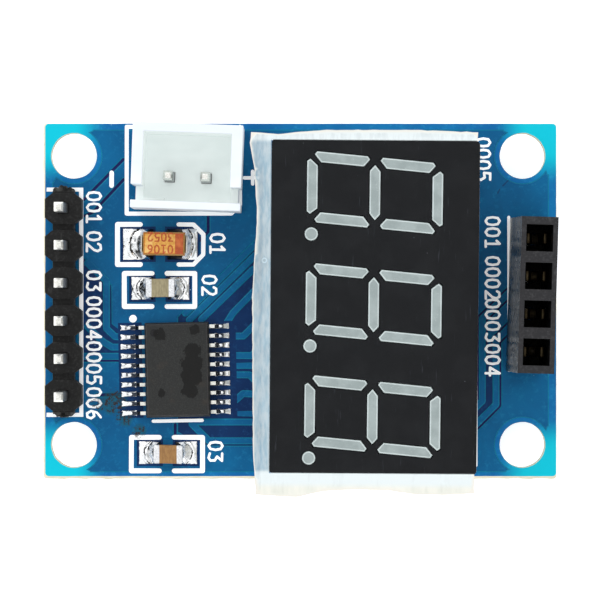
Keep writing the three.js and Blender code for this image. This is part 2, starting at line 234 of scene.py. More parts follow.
def stroke(points, width, flat=False):
    """Outline of a line of that width: mitred corners and round ends, or flat ones."""
    points = np.array(points, float)
    steps = np.diff(points, axis=0)
    steps /= np.linalg.norm(steps, axis=1)[:, None]
    normals = np.column_stack((-steps[:, 1], steps[:, 0]))
    before = np.vstack((normals[:1], normals))
    after = np.vstack((normals, normals[-1:]))
    mitre = (before + after) / (1 + (before * after).sum(1))[:, None]
    left = points + mitre * width / 2
    right = points - mitre * width / 2
    if flat:
        return np.vstack((left, right[::-1]))
    arcs = []
    for centre, normal in ((points[-1], normals[-1]), (points[0], -normals[0])):
        turns = math.atan2(normal[1], normal[0]) - np.arange(1, CAP_STEPS) * math.pi / CAP_STEPS
        arcs.append(centre + width / 2 * np.column_stack((np.cos(turns), np.sin(turns))))
    return np.vstack((left, arcs[0], right[::-1], arcs[1]))


def circle(x, y, radius, sides=32):
    turns = np.arange(sides) * 2 * math.pi / sides
    return np.column_stack((x + radius * np.cos(turns), y + radius * np.sin(turns)))


def rounded_rectangle(x0, y0, x1, y1, radius, arc=5):
    points = []
    for cx, cy, first in ((x1 - radius, y1 - radius, 0), (x0 + radius, y1 - radius, 90),
                          (x0 + radius, y0 + radius, 180), (x1 - radius, y0 + radius, 270)):
        for i in range(arc + 1):
            turn = math.radians(first + 90 * i / arc)
            points.append((cx + radius * math.cos(turn), cy + radius * math.sin(turn)))
    return points


def roughened(outline, step, amount, seed):
    """The outline with extra points along it, each pushed a little by noise."""
    outline = np.array(outline, float)
    size = step * 1.3
    points = []
    for a, b in zip(outline, np.roll(outline, -1, axis=0)):
        count = max(1, int(np.linalg.norm(b - a) / step))
        for i in range(count):
            x, y = a + (b - a) * i / count
            points.append((x + ripple(x, y, size, amount, seed), y + ripple(y, x, size, amount, seed)))
    return points


class Painting:
    """Flat areas laid over one another in plan. Where they overlap, the last one wins."""

    def __init__(self, limit=None, loose=()):
        self.areas = []
        self.limit = limit
        self.loose = loose

    def area(self, outline, kind):
        self.areas.append((np.array(outline, float), kind))

    def line(self, points, width, kind, flat=False):
        """A line with mitred corners and flat ends, or one made of round-ended parts."""
        for part in [points] if flat else zip(points, points[1:]):
            self.area(stroke(part, width, flat), kind)

    def relief(self, kind, outlines=(), lines=()):
        """Areas and lines whose edges slope: every rim is laid first, so that they join cleanly."""
        for outline in outlines:
            self.line([*outline, outline[0]], 2 * RIM, "rim")
        for points, width in lines:
            self.line(points, width + 2 * RIM, "rim")
        for outline in outlines:
            self.area(outline, kind)
        for points, width in lines:
            self.line(points, width, kind)

    def cells(self):
        """Points, triangles and each triangle's kind. Loose points only make the triangles smaller."""
        points = []
        edges = []
        for outline, _ in self.areas:
            first = len(points)
            count = len(outline)
            points.extend(Vector(p) for p in outline)
            edges.extend((first + i, first + (i + 1) % count) for i in range(count))
        points.extend(Vector(p) for p in self.loose)
        made = delaunay_2d_cdt(points, edges, [], 0, 1e-4, False)
        verts = np.array([tuple(v) for v in made[0]], float)
        faces = np.array([tuple(f) for f in made[2]], int)
        a, b, c = (verts[faces[:, i]] for i in range(3))
        twice = (b[:, 0] - a[:, 0]) * (c[:, 1] - a[:, 1]) - (c[:, 0] - a[:, 0]) * (b[:, 1] - a[:, 1])
        faces[twice < 0] = faces[twice < 0][:, ::-1]
        kinds = np.full(len(faces), "", dtype=object)
        centres = (a + b + c) / 3
        for outline, kind in self.areas:
            boxed = (centres >= outline.min(0)) & (centres <= outline.max(0))
            near = np.where(boxed.all(1))[0]
            kinds[near[inside(outline, centres[near])]] = kind
        keep = (kinds != "") & (kinds != "hole") & (abs(twice) > 1e-9)
        if self.limit is not None:
            keep &= inside(self.limit, centres)
        used, faces = np.unique(faces[keep], return_inverse=True)
        return verts[used], faces.reshape(-1, 3).tolist(), kinds[keep]


def thickened(faces, count):
    """A sheet's faces and their copies on a second side, whose points come count later. Also the edges
    of its rim, each with the number of the face that it belongs to."""
    owner = {}
    for i, face in enumerate(faces):
        for edge in zip(face, (*face[1:], face[0])):
            owner[edge] = i
    rim = [(a, b, i) for (a, b), i in owner.items() if (b, a) not in owner]
    sides = [side for face in faces for side in (tuple(face), tuple(k + count for k in reversed(face)))]
    return sides, rim


def walls(rim, count):
    return [(b, a, a + count, b + count) for a, b, _ in rim]


def layer(name, slot, painting, levels, base, materials, facing=1, smooth=None):
    """A closed layer: painted areas at their own levels over a flat base. levels gives the height of each
    kind, in the order of the materials, and a rim slopes between its neighbours."""
    verts, faces, kinds = painting.cells()
    corners = np.array(faces)
    own = {kind: z for kind, z in levels.items() if (kinds == kind).any()}
    level = np.full(len(verts), np.inf)
    for kind, z in own.items():
        used = np.unique(corners[kinds == kind])
        level[used] = np.minimum(level[used], z)
    level[np.isinf(level)] = sum(own.values()) / len(own)
    highest = max(own, key=own.get)
    lowest = min(own, key=own.get)
    for i in np.where(kinds == "rim")[0]:
        if level[corners[i]].min() == own[highest]:
            kinds[i] = highest
        elif level[corners[i]].max() == own[lowest]:
            kinds[i] = lowest
    points = [(x, y, base + facing * z) for (x, y), z in zip(verts, level)]
    points += [(x, y, base) for x, y in verts]
    order = {kind: i for i, kind in enumerate([*levels, "rim"])}
    solid, rim = thickened(faces, len(verts))
    solid += walls(rim, len(verts))
    marks = [order[kind] for kind in kinds for _ in range(2)] + [order[kinds[i]] for _, _, i in rim]
    if facing < 0:
        solid = [tuple(reversed(face)) for face in solid]
    return new_piece(name, slot, (points, solid), materials, marks=marks, smooth=smooth)


def grid_patch(plan, half_u, half_v, height, columns, rows, base):
    """Closed lump over a rectangle: height(s, t) above the base, with s and t from 0 to 1 along u and v."""
    shares = [(i / columns, j / rows) for i in range(columns + 1) for j in range(rows + 1)]
    places = [plan.at(half_u * (2 * s - 1), half_v * (2 * t - 1)) for s, t in shares]
    points = [(x, y, base + height(s, t)) for (x, y), (s, t) in zip(places, shares)]
    points += [(x, y, base - LUMP_DEPTH) for x, y in places]
    row = rows + 1
    corners = [i * row + j for i in range(columns) for j in range(rows)]
    sides, rim = thickened([(a, a + row, a + row + 1, a + 1) for a in corners], len(shares))
    return points, sides + walls(rim, len(shares))


def lathe(x, y, profile, sides=24, wobble=0.0, seed=0.0):
    """Closed turned lump round an upright axis. profile runs from the axis to the axis as (radius, z)."""
    points = [(x, y, profile[0][1])]
    for radius, z in profile[1:-1]:
        for i in range(sides):
            cos, sin = math.cos(i * 2 * math.pi / sides), math.sin(i * 2 * math.pi / sides)
            r = radius * (1 + ripple(cos * 2, sin * 2, 1.0, wobble, seed + z))
            points.append((x + r * cos, y + r * sin, z))
    points.append((x, y, profile[-1][1]))
    last = 1 + (len(profile) - 3) * sides
    faces = []
    for i in range(sides):
        k = (i + 1) % sides
        faces += [(0, 1 + k, 1 + i), (last + i, last + k, len(points) - 1)]
        for a in range(1, last, sides):
            faces.append((a + i, a + k, a + sides + k, a + sides + i))
    return points, faces


def joined(parts):
    """Several closed lumps as one list of points and faces."""
    points = []
    faces = []
    for part_points, part_faces in parts:
        first = len(points)
        points += part_points
        faces += [tuple(first + i for i in face) for face in part_faces]
    return points, faces

# ---- materials ------------------------------------------------------------------------------


def linear(colour):
    """A colour given as 0 to 255 display values, as the shaders want it."""
    shares = [c / 255 for c in colour]
    return (*[c / 12.92 if c <= 0.04045 else ((c + 0.055) / 1.055) ** 2.4 for c in shares], 1.0)


def plug(socket, value):
    """Links a shader socket to another one, or gives it a value."""
    if isinstance(value, bpy.types.NodeSocket):
        socket.id_data.links.new(value, socket)
    else:
        socket.default_value = value


def add_node(tree, kind, inputs, **settings):
    """A shader node with those settings, its inputs linked or given values."""
    node = tree.nodes.new(f"ShaderNode{kind}")
    for name, value in settings.items():
        setattr(node, name, value)
    for key, value in inputs.items():
        plug(node.inputs[key], value)
    return node


def add_ramp(tree, value, low, high, out_low=0.0, out_high=1.0):
    """A value that goes smoothly from out_low to out_high as the given one goes from low to high."""
    inputs = {"Value": value, "From Min": low, "From Max": high, "To Min": out_low, "To Max": out_high}
    return add_node(tree, "MapRange", inputs, interpolation_type="SMOOTHSTEP").outputs["Result"]


class Surface:
    """A Principled material whose patterns are worked out from the place on the object, in millimetres."""

    def __init__(self, name, colour, roughness, metallic=0.0, specular=0.5, glow=None):
        self.material = bpy.data.materials.new(name)
        self.material.use_nodes = True
        self.material.diffuse_color = linear(colour)
        self.tree = self.material.node_tree
        self.shader = self.tree.nodes["Principled BSDF"]
        self.set("Base Color", linear(colour))
        self.set("Roughness", roughness)
        self.set("Metallic", metallic)
        self.set("Specular IOR Level", specular)
        if glow:
            self.set("Emission Color", linear(glow[0]))
            self.set("Emission Strength", glow[1])
        coordinates = add_node(self.tree, "TexCoord", {})
        self.place = self.vector("SCALE", {0: coordinates.outputs["Object"], "Scale": 1 / MM})

    def set(self, socket, value):
        plug(self.shader.inputs[socket], value)

    def vector(self, operation, inputs):
        node = add_node(self.tree, "VectorMath", inputs, operation=operation)
        return node.outputs["Value" if operation == "DISTANCE" else "Vector"]

    def math(self, operation, a, b):
        return add_node(self.tree, "Math", {0: a, 1: b}, operation=operation).outputs[0]

    def times(self, a, b):
        return self.math("MULTIPLY", a, b)

    def plus(self, a, b):
        return self.math("ADD", a, b)

    def minus(self, a, b):
        return self.math("SUBTRACT", a, b)

    def largest(self, values):
        best = values[0]
        for value in values[1:]:
            best = self.math("MAXIMUM", best, value)
        return best

    def blobs(self, size, detail=2.0, stretch=(1, 1, 1), roughness=0.5, offset=(0, 0, 0)):
        """Noise from 0 to 1 with features of about that size in millimetres."""
        moved = self.vector("ADD", {0: self.place, 1: offset})
        place = self.vector("MULTIPLY", {0: moved, 1: [1 / s for s in stretch]})
        inputs = {"Vector": place, "Scale": 1 / size, "Detail": detail, "Roughness": roughness}
        return add_node(self.tree, "TexNoise", inputs).outputs["Fac"]

    def specks(self, spacing, radius, offset=(0, 0, 0)):
        """1 in small dots scattered at about that spacing, 0 between them."""
        inputs = {"Vector": self.vector("ADD", {0: self.place, 1: offset}), "Scale": 1 / spacing}
        gap = add_node(self.tree, "TexVoronoi", inputs).outputs["Distance"]
        return self.ramp(gap, radius / spacing, 0.6 * radius / spacing)

    def ramp(self, *limits):
        return add_ramp(self.tree, *limits)

    def blend(self, share, a, b):
        """Colour a where share is 0 and b where it is 1; colours are display values or sockets."""
        a, b = (c if isinstance(c, bpy.types.NodeSocket) else linear(c) for c in (a, b))
        mix = add_node(self.tree, "Mix", {"Factor": share}, data_type="RGBA")
        for socket, colour in zip([s for s in mix.inputs if s.type == "RGBA"], (a, b)):
            plug(socket, colour)
        return next(s for s in mix.outputs if s.type == "RGBA")

    def tint(self, pattern, low, high, a, b, most=1.0):
        """Colour a, going over to b by at most that share where the pattern rises from low to high."""
        return self.blend(self.ramp(pattern, low, high, 0, most), a, b)

    def dusty(self, colour, dust, share, specks, patches):
        """A colour with specks of dust, in patches given as their size and the noise they lie between."""
        size, low, high = patches
        spots = self.times(self.specks(*specks), self.ramp(self.blobs(size), low, high))
        return self.blend(self.times(spots, share), colour, dust)

    def along(self, axis):
        """One coordinate of the place, in millimetres."""
        return add_node(self.tree, "SeparateXYZ", {0: self.place}).outputs[axis]

    def near(self, x, y, radius, soft):
        """1 within radius of an upright line at x, y, falling to 0 over the soft width."""
        flat = self.vector("MULTIPLY", {0: self.place, 1: (1, 1, 0)})
        gap = self.vector("DISTANCE", {0: flat, 1: (x, y, 0)})
        return self.ramp(gap, radius + soft, radius)

    def patches(self, x, y, spots):
        """1 near any of the spots, which are given from x, y as (right, up, radius, soft)."""
        return self.largest([self.near(x + right, y + up, radius, soft) for right, up, radius, soft in spots])

    def bumps(self, height, depth):
        """Relief of that depth in millimetres."""
        node = add_node(self.tree, "Bump", {"Height": height, "Distance": depth * MM})
        self.set("Normal", node.outputs["Normal"])

    def finished(self, colour, rough=None, bumps=None):
        """The material with its colour, its roughness as the values of a ramp, and its bumps."""
        self.set("Base Color", colour)
        if rough:
            self.set("Roughness", self.ramp(*rough))
        if bumps:
            self.bumps(*bumps)
        return self.material


def mask_finish(surface, tone, dark, light):
    """Solder mask: soft mottling, pale dust specks, an orange-peel skin and a varying gloss."""
    fine = surface.blobs(0.35, detail=3, roughness=0.7, offset=(7, 3, 1))
    surface.set("Roughness", surface.ramp(fine, 0.3, 0.7, 0.3, 0.46))
    surface.bumps(surface.blobs(0.6), 0.006)
    colour = surface.tint(surface.blobs(2.6, detail=3), 0.35, 0.68, dark, tone)
    colour = surface.tint(fine, 0.5, 0.78, colour, light, 0.55)
    return surface.dusty(colour, (150, 195, 215), 0.75, (0.9, 0.05), (3, 0.45, 0.7))


# spots of burnt flux, from the outer end of the chip's last lead on the left
FLUX_SPOTS = ((-1.2, 0.9, 0.5, 1.0), (-0.55, -0.2, 0.3, 0.8), (0.45, -1.1, 0.25, 0.7), (-2.3, 0.8, 0.2, 0.8))


def flux_stain(surface, colour):
    """Burnt flux left beside the chip's last leads: fine brown crumbs on a dull greenish film."""
    low, _ = box("chip_lead_10")
    region = surface.patches(low.x, low.y, FLUX_SPOTS)
    grain = surface.blobs(0.26, detail=5, roughness=0.8, offset=(2, 9, 0))
    film = surface.times(surface.blobs(0.8), region)
    colour = surface.tint(film, 0.25, 0.55, colour, (22, 84, 96), 0.6)
    crumbs = surface.plus(grain, surface.times(region, 0.24))
    return surface.tint(crumbs, 0.74, 0.77, colour, (50, 38, 32), 0.95)


def make_mask(name, tone, dark, light):
    surface = Surface(name, tone, 0.38, specular=0.1)
    return surface.finished(flux_stain(surface, mask_finish(surface, tone, dark, light)))


def make_bare_edge():
    """Mask over laminate with no copper behind it, near the board's edge: it lets the light through."""
    surface = Surface("mask_over_laminate", (14, 112, 176), 0.36, specular=0.1)
    lit = surface.patches(0, 0, [(x, y, 1.9, 2.4) for x, y in CORNERS])
    deep = mask_finish(surface, (10, 112, 172), (6, 96, 158), (40, 144, 192))
    return surface.finished(surface.blend(lit, deep, (2, 190, 212)))


def make_laminate():
    surface = Surface("cut_laminate", (214, 208, 184), 0.8, specular=0.3)
    layers = surface.blobs(0.14, detail=3, stretch=(5, 5, 1))
    colour = surface.tint(layers, 0.3, 0.7, (208, 201, 176), (228, 223, 203))
    burnt = surface.blobs(0.5, detail=5, offset=(4, 4, 2))
    grain = surface.blobs(0.12, detail=3, stretch=(4, 4, 1))
    colour = surface.tint(burnt, 0.62, 0.72, colour, (160, 140, 104), 0.35)
    return surface.finished(colour, None, (grain, 0.03))


def make_ink():
    # the ink glows a little: painted light that brightens all the print
    surface = Surface("printed_ink", (236, 240, 242), 0.55, specular=0.3, glow=((255, 255, 255), 0.22))
    wear = surface.blobs(0.22, detail=4, roughness=0.7)
    colour = surface.tint(wear, 0.62, 0.8, (240, 243, 245), (196, 212, 220), 0.5)
    return surface.finished(flux_stain(surface, colour), None, (surface.blobs(0.18, detail=3), 0.008))


def make_solder(name, flux):
    """Bright smooth solder; flux is how much brown residue sits on it."""
    surface = Surface(name, (236, 238, 240), 0.2, metallic=1.0)
    cloud = surface.blobs(0.5)
    burnt = surface.ramp(surface.blobs(0.4, detail=4, roughness=0.7, offset=(3, 8, 5)), 0.64, 0.7, 0, flux)
    tone = surface.tint(cloud, 0.4, 0.6, (222, 224, 226), (250, 251, 252))
    surface.set("Metallic", surface.ramp(burnt, 0.2, 0.8, 1.0, 0.1))
    return surface.finished(surface.blend(burnt, tone, (84, 60, 48)), (cloud, 0.35, 0.65, 0.14, 0.3),
                            (surface.blobs(0.3), 0.02))


def make_tin(name, colour, streak):
    """Tin plate with drawn streaks along the pin and a few dull spots."""
    surface = Surface(name, colour, 0.35, metallic=1.0)
    drawn = surface.blobs(0.09, stretch=(1, 1, 12))
    dull = surface.blobs(0.5, detail=3, offset=(5, 1, 0))
    tone = surface.tint(drawn, 0.3, 0.7, streak, colour)
    return surface.finished(surface.tint(dull, 0.62, 0.75, tone, (140, 132, 118), 0.4),
                            (dull, 0.35, 0.7, 0.28, 0.5), (drawn, 0.006))


def make_black_plastic(name, colour, scuff, edge=False):
    """Matt black moulding: fine grain, grey scuffs, more of them where it is an edge."""
    surface = Surface(name, colour, 0.62, specular=0.08)
    fine = surface.blobs(0.16, detail=3, roughness=0.7)
    marks = surface.blobs(0.7, detail=4, stretch=(1, 2.2, 1), offset=(9, 2, 4))
    tone = surface.tint(fine, 0.45, 0.8, colour, scuff, 0.5)
    limit = 0.45 if edge else 0.62
    return surface.finished(surface.tint(marks, limit, limit + 0.14, tone, scuff, 0.6),
                            (fine, 0.3, 0.7, 0.5, 0.72), (fine, 0.012))


def make_socket_wall():
    """The socket's smooth outer wall: dark, and glossy enough to pick up the blue of the board."""
    surface = Surface("black_socket_wall", (16, 18, 20), 0.06, specular=0.3)
    smear = surface.blobs(0.8, detail=3)
    return surface.finished(surface.tint(smear, 0.5, 0.75, (14, 16, 18), (34, 36, 38)),
                            (smear, 0.3, 0.7, 0.24, 0.34))


def make_white_plastic(name, colour, shade, glow):
    """Milky moulding; glow stands for the light that comes through its thin walls."""
    surface = Surface(name, colour, 0.42, specular=0.4, glow=(colour, glow))
    grain = surface.blobs(0.14, detail=3, offset=(1, 6, 2))
    tone = surface.tint(surface.blobs(1.6, stretch=(2, 1, 1)), 0.35, 0.65, shade, colour)
    tone = surface.dusty(tone, (170, 165, 150), 0.6, (1.4, 0.05, (3, 0, 0)), (2, 0.5, 0.6))
    return surface.finished(tone, (grain, 0.3, 0.7, 0.36, 0.5), (grain, 0.006))


# wiped and glossy spots on the chip, from its middle
WIPED_SPOTS = ((1.0, 1.3, 0.1, 0.9), (0.95, 0.4, 0.2, 1.0), (0.95, -0.5, 0.2, 1.0), (0.9, -1.4, 0.1, 0.9),
               (-1.2, 2.4, 0.0, 0.85), (1.2, 2.7, 0.0, 0.7), (-1.1, -1.6, 0.0, 0.6))


def make_chip_plastic(name, colour, light):
    """Moulding compound: filler grain, glossy dark wiped patches and a faint brown bloom."""
    surface = Surface(name, colour, 0.5, specular=0.1)
    centre = middle("chip_body")
    filler = surface.blobs(0.07)
    tone = surface.tint(filler, 0.4, 0.75, colour, light, 0.6)
    torn = surface.blobs(0.75, detail=4, roughness=0.75, stretch=(0.7, 1.3, 1), offset=(6, 3, 0))
    wiped = surface.plus(surface.patches(centre.x, centre.y, WIPED_SPOTS), surface.times(torn, 1.6))
    wiped = surface.ramp(wiped, 1.3, 1.36, 0, 0.85)
    tone = surface.blend(wiped, tone, (22, 22, 22))
    bloom = surface.blobs(1.1, detail=3, offset=(1, 4, 2))
    return surface.finished(surface.tint(bloom, 0.58, 0.75, tone, (72, 62, 54), 0.25),
                            (wiped, 0.0, 1.0, 0.55, 0.32), (filler, 0.008))


def make_amber(name, colour, deep, pale):
    surface = Surface(name, colour, 0.48, specular=0.35)
    grain = surface.blobs(0.2, detail=4, roughness=0.7)
    cloud = surface.blobs(0.8, offset=(2, 2, 8))
    tone = surface.tint(grain, 0.42, 0.68, deep, colour)
    return surface.finished(surface.tint(cloud, 0.52, 0.7, tone, pale, 0.7), (grain, 0.3, 0.7, 0.4, 0.6),
                            (grain, 0.015))


def make_ceramic(name, colour, deep):
    surface = Surface(name, colour, 0.45, specular=0.4)
    grain = surface.blobs(0.12, detail=3, stretch=(1, 3, 1))
    return surface.finished(surface.tint(grain, 0.35, 0.65, deep, colour), (grain, 0.3, 0.7, 0.38, 0.55),
                            (grain, 0.01))


def make_display_face():
    """The display's printed face: near black, with hairline scratches and faint dust."""
    surface = Surface("display_face", (35, 36, 38), 0.5, specular=0.06)
    cloud = surface.blobs(1.8, detail=3)
    hair = surface.blobs(0.5, detail=4, stretch=(0.25, 3.5, 1), offset=(3, 7, 0))
    tone = surface.tint(cloud, 0.4, 0.65, (26, 27, 29), (30, 31, 33))
    tone = surface.tint(hair, 0.66, 0.76, tone, (60, 64, 70), 0.45)
    tone = surface.dusty(tone, (110, 116, 122), 0.5, (0.8, 0.04), (2.2, 0.5, 0.66))
    return surface.finished(tone, (cloud, 0.3, 0.7, 0.42, 0.58), (surface.blobs(0.3), 0.004))


def make_segment(name, colour, shade):
    surface = Surface(name, colour, 0.4, specular=0.4)
    grain = surface.blobs(0.1, detail=3)
    tone = surface.tint(surface.blobs(0.9, detail=3), 0.35, 0.65, shade, colour)
    return surface.finished(surface.tint(grain, 0.6, 0.8, tone, (214, 220, 220), 0.4),
                            (grain, 0.3, 0.7, 0.34, 0.5), (grain, 0.005))


def make_led_board():
    surface = Surface("led_board", (196, 190, 150), 0.6, specular=0.3)
    weave = surface.blobs(0.4, detail=3, stretch=(1, 3, 1))
    return surface.finished(surface.tint(weave, 0.35, 0.65, (186, 178, 134), (206, 200, 164)), None,
                            (weave, 0.02))


BUBBLE = (-2.43, 2.68)      # an air bubble under the film


def make_film():
    """Clear film: it nearly vanishes where it sticks to the face, and looks milky where it hangs free."""
    surface = Surface("clear_film", (226, 236, 243), 0.3, specular=0.3)
    turn = heading("display_shell")
    cos, sin = math.cos(turn), math.sin(turn)
    top = box("display_shell")[1].z
    corners = [p for p in points_of("display_shell") if p.z > top - 0.01]
    across = [p.x * cos + p.y * sin for p in corners]
    upward = [p.y * cos - p.x * sin for p in corners]
    left, right, bottom, upper = min(across), max(across), min(upward), max(upward)
    board_x, board_y = surface.along("X"), surface.along("Y")
    x = surface.plus(surface.times(board_x, cos), surface.times(board_y, sin))
    y = surface.minus(surface.times(board_y, cos), surface.times(board_x, sin))
    stuck = surface.ramp(x, left + 0.02, left + 0.12)
    for place, low, high in ((x, right + 0.05, right - 0.05), (y, bottom + 0.02, bottom + 0.12),
                             (y, upper - 0.02, upper - 0.12)):
        stuck = surface.times(stuck, surface.ramp(place, low, high))
    free = surface.minus(1.0, stuck)

    streak = surface.blobs(0.5, detail=4, stretch=(0.5, 1.9, 1), roughness=0.6)
    wide = surface.blobs(1.6, stretch=(0.4, 1.6, 1), offset=(0, 5, 0))
    beside = surface.ramp(x, left - 0.55, left - 0.35, 0, 0.12)
    # ends: more milky where the film leaves the display's top and bottom edges, a painted sheen
    ends = surface.largest([surface.ramp(y, upper - 0.4, upper + 0.1, 0, 0.24),
                            surface.ramp(y, bottom + 0.4, bottom - 0.1, 0, 0.34)])
    # edge marks the film's cut border, painted more milky and cream as a highlight
    edge = add_node(surface.tree, "Attribute", {}, attribute_name="edge").outputs["Fac"]
    milky = surface.ramp(surface.plus(streak, wide), 0.7, 1.3, 0.6, 0.42)
    milky = surface.plus(milky, surface.ramp(edge, 0.5, 1.0, 0, 0.35))
    milky = surface.plus(milky, surface.plus(beside, ends))
    bubble = surface.minus(surface.near(*BUBBLE, 0.16, 0.05), surface.near(*BUBBLE, 0.08, 0.05))
    milky = surface.math("MINIMUM", surface.plus(milky, surface.times(bubble, 0.3)), 0.93)
    clear = surface.ramp(streak, 0.66, 0.76, 0.001, 0.012)
    surface.set("Alpha", surface.plus(surface.times(milky, free), surface.times(clear, stuck)))

    tone = surface.tint(streak, 0.35, 0.7, (198, 212, 218), (174, 202, 216))
    # whiter at those ends too: painted sheen
    tone = surface.tint(ends, 0.0, 0.2, tone, (224, 233, 235))
    creased = surface.tint(wide, 0.35, 0.6, (234, 234, 225), (224, 226, 217))
    tone = surface.tint(y, bottom - 0.5, bottom - 1.0, tone, creased)
    # cream along the cut edge: a painted highlight
    return surface.finished(surface.tint(edge, 0.5, 1.0, tone, (232, 229, 220)), None, (streak, 0.02))

# ---- the board ------------------------------------------------------------------------------

CORNERS = [(x, y) for x in (BOARD_LOW.x, BOARD_HIGH.x) for y in (BOARD_LOW.y, BOARD_HIGH.y)]
HOLE_SPACING = (30.72, 19.8)
HOLE_RADIUS = 1.55
HOLE_CENTRE_X = -0.17
HOLES = [(HOLE_CENTRE_X + sx * HOLE_SPACING[0] / 2, sy * HOLE_SPACING[1] / 2)
         for sx in (-1, 1) for sy in (-1, 1)]


def tail_place(node):
    """Where a pin passes the board's underside: the middle of its lowest points."""
    points = [p for p in points_of(node) if p.z < BOARD_LOW.z]
    return sum(p.x for p in points) / len(points), sum(p.y for p in points) / len(points)


# the copper and its gaps on the component side, as lines and outlines in board millimetres
POUR = {"left": -16.95, "right": 16.93, "bottom": -11.7, "top": 11.63}
POUR_END = 0.28             # how much of the pour's pointed ends is rounded off beside a corner hole

MIDDLE_BARE = [(-1.0, 6.2), (-8.4, -1.15), (-8.4, -9.0), (-6.3, -9.95), (-1.0, -9.95)]
LEFT_BARE = [(-15.2, 3.25), (-14.3, 2.35), (-12.98, 1.03), (-12.95, -1.6), (-12.3, -2.25), (-12.2, -4.15),
             (-15.2, -4.15)]
RIGHT_BARE = [(12.44, -3.5), (13.38, -2.7), (13.38, -7.1), (11.2, -9.3), (11.2, -8.0), (12.44, -6.9)]

GAPS = [
    [(-12.15, 9.65), (-14.85, 6.9)],
    [(-12.13, 8.28), (-13.56, 6.75), (-14.25, 6.02), (-14.84, 5.78)],
    [(-15.2, -4.1), (-12.5, -4.1)],
    [(-14.0, -6.48), (-12.4, -6.48)],
    [(-6.34, 5.9), (-6.34, 4.7), (-6.9, 4.1)],
    [(-8.6, -8.5), (-8.6, -9.3)],
]
SCRATCHES = [
    [(13.5, 7.35), (13.62, 7.6)],
    [(13.85, 7.85), (14.2, 8.2)],
]

# tracks from the chip's right-hand leads to the display, and from its left-hand ones to the header
TRACKS = [
    [(-3.09, 3.89), (-7.9, -0.88)],
    [(-3.15, 3.07), (-7.63, -1.34)],
    [(-3.27, 2.12), (-6.8, -1.3)],
    [(-2.0, 1.85), (-4.62, -0.83), (-5.03, -1.47), (-5.2, -1.9)],
    [(-2.0, -0.5), (-3.92, -2.44), (-5.2, -2.44)],
    [(-2.0, -2.4), (-3.35, -3.78), (-5.2, -3.78)],
    [(-2.0, -4.45), (-5.2, -4.45)],
    [(-2.8, -5.8), (-3.5, -5.1), (-5.2, -5.1)],
    [(-5.2, -7.5), (-3.95, -6.38), (-2.6, -6.45)],
    [(-5.2, -7.76), (-2.0, -7.76)],
    [(-7.2, -8.33), (-2.0, -8.33)],
    [(-7.45, -8.47), (-6.28, -9.62), (-2.0, -9.62)],
    [(-14.6, 2.55), (-13.3, 1.33), (-13.31, -1.92), (-12.72, -2.48), (-11.9, -2.51)],
    [(-14.6, -1.8), (-13.61, -2.78), (-12.93, -3.2), (-11.9, -3.19)],
    [(-15.2, -3.83), (-11.9, -3.83)],
]
RIGHT_TRACKS = [
    [(14.6, 0.85), (12.44, -1.25), (12.44, -6.89), (11.2, -8.13)],
    [(14.8, -1.35), (13.38, -2.75), (13.38, -7.12), (11.2, -9.3)],
]

# the mask's height above its flat side, over each kind of ground
BARE_LEVEL = MASK_DEPTH - COPPER_RISE
MASK_LEVELS = {"copper": MASK_DEPTH, "bare": BARE_LEVEL, "gap": BARE_LEVEL, "glow": BARE_LEVEL,
               "scratch": MASK_DEPTH - 0.01}
PRINT_SINK = COPPER_RISE + 0.01                 # the print is laid as deep as the bare mask
PRINT_LEVELS = {"ink": PRINT_SINK + INK_RISE}


def corner_cuts():
    """Bare corners: a ring round each hole, and what lies outside it with the pour's ends rounded off."""
    rings = []
    corners = []
    radius = HOLE_RADIUS + HOLE_CLEARANCE
    for x, y in HOLES:
        rings.append(circle(x, y, radius, HOLE_SIDES))
        edge_x = POUR["left"] if x < 0 else POUR["right"]
        edge_y = POUR["bottom"] if y < 0 else POUR["top"]
        side_x = math.copysign(1, x)
        side_y = math.copysign(1, y)
        end_x = x - side_x * (math.sqrt(radius ** 2 - (edge_y - y) ** 2) + POUR_END)
        end_y = y - side_y * (math.sqrt(radius ** 2 - (edge_x - x) ** 2) + POUR_END)
        out_x = edge_x + side_x
        out_y = edge_y + side_y
        round_x = POUR_END * side_x
        round_y = POUR_END * side_y
        corners.append([(end_x - round_x, out_y), (end_x - round_x, edge_y), (end_x, edge_y - 0.4 * round_y),
                        (x, y), (edge_x - 0.4 * round_x, end_y), (edge_x, end_y - round_y),
                        (out_x, end_y - round_y), (out_x, out_y)])
    return rings + corners


def outer_strips():
    """The bare strip between the pour and the board's edge, on all four sides."""
    left, right, bottom, top = (POUR[side] for side in ("left", "right", "bottom", "top"))
    far = 2
    sides = ((left - far, bottom - far, left - RIM, top + far),
             (right + RIM, bottom - far, right + far, top + far),
             (left, bottom - far, right, bottom - RIM),
             (left, top + RIM, right, top + far))
    return [Plan(0, 0).rectangle(*side) for side in sides]


def board_outline():
    """The board seen from above, a little rough where it was cut."""
    outline = rounded_rectangle(BOARD_LOW.x, BOARD_LOW.y + 0.06, BOARD_HIGH.x, BOARD_HIGH.y, CORNER_ROUND)
    return roughened(outline, 0.5, 0.012, 2.0)


def drill(painting, grow=0.0):
    """The corner holes and the bores of the pins."""
    for x, y in HOLES:
        painting.area(roughened(circle(x, y, HOLE_RADIUS + grow, HOLE_SIDES), 0.3, 0.02, 5.0), "hole")
    for pin, land in THROUGH_PINS:
        painting.area(circle(*tail_place(pin), land - BORE_INSET, BORE_SIDES), "hole")


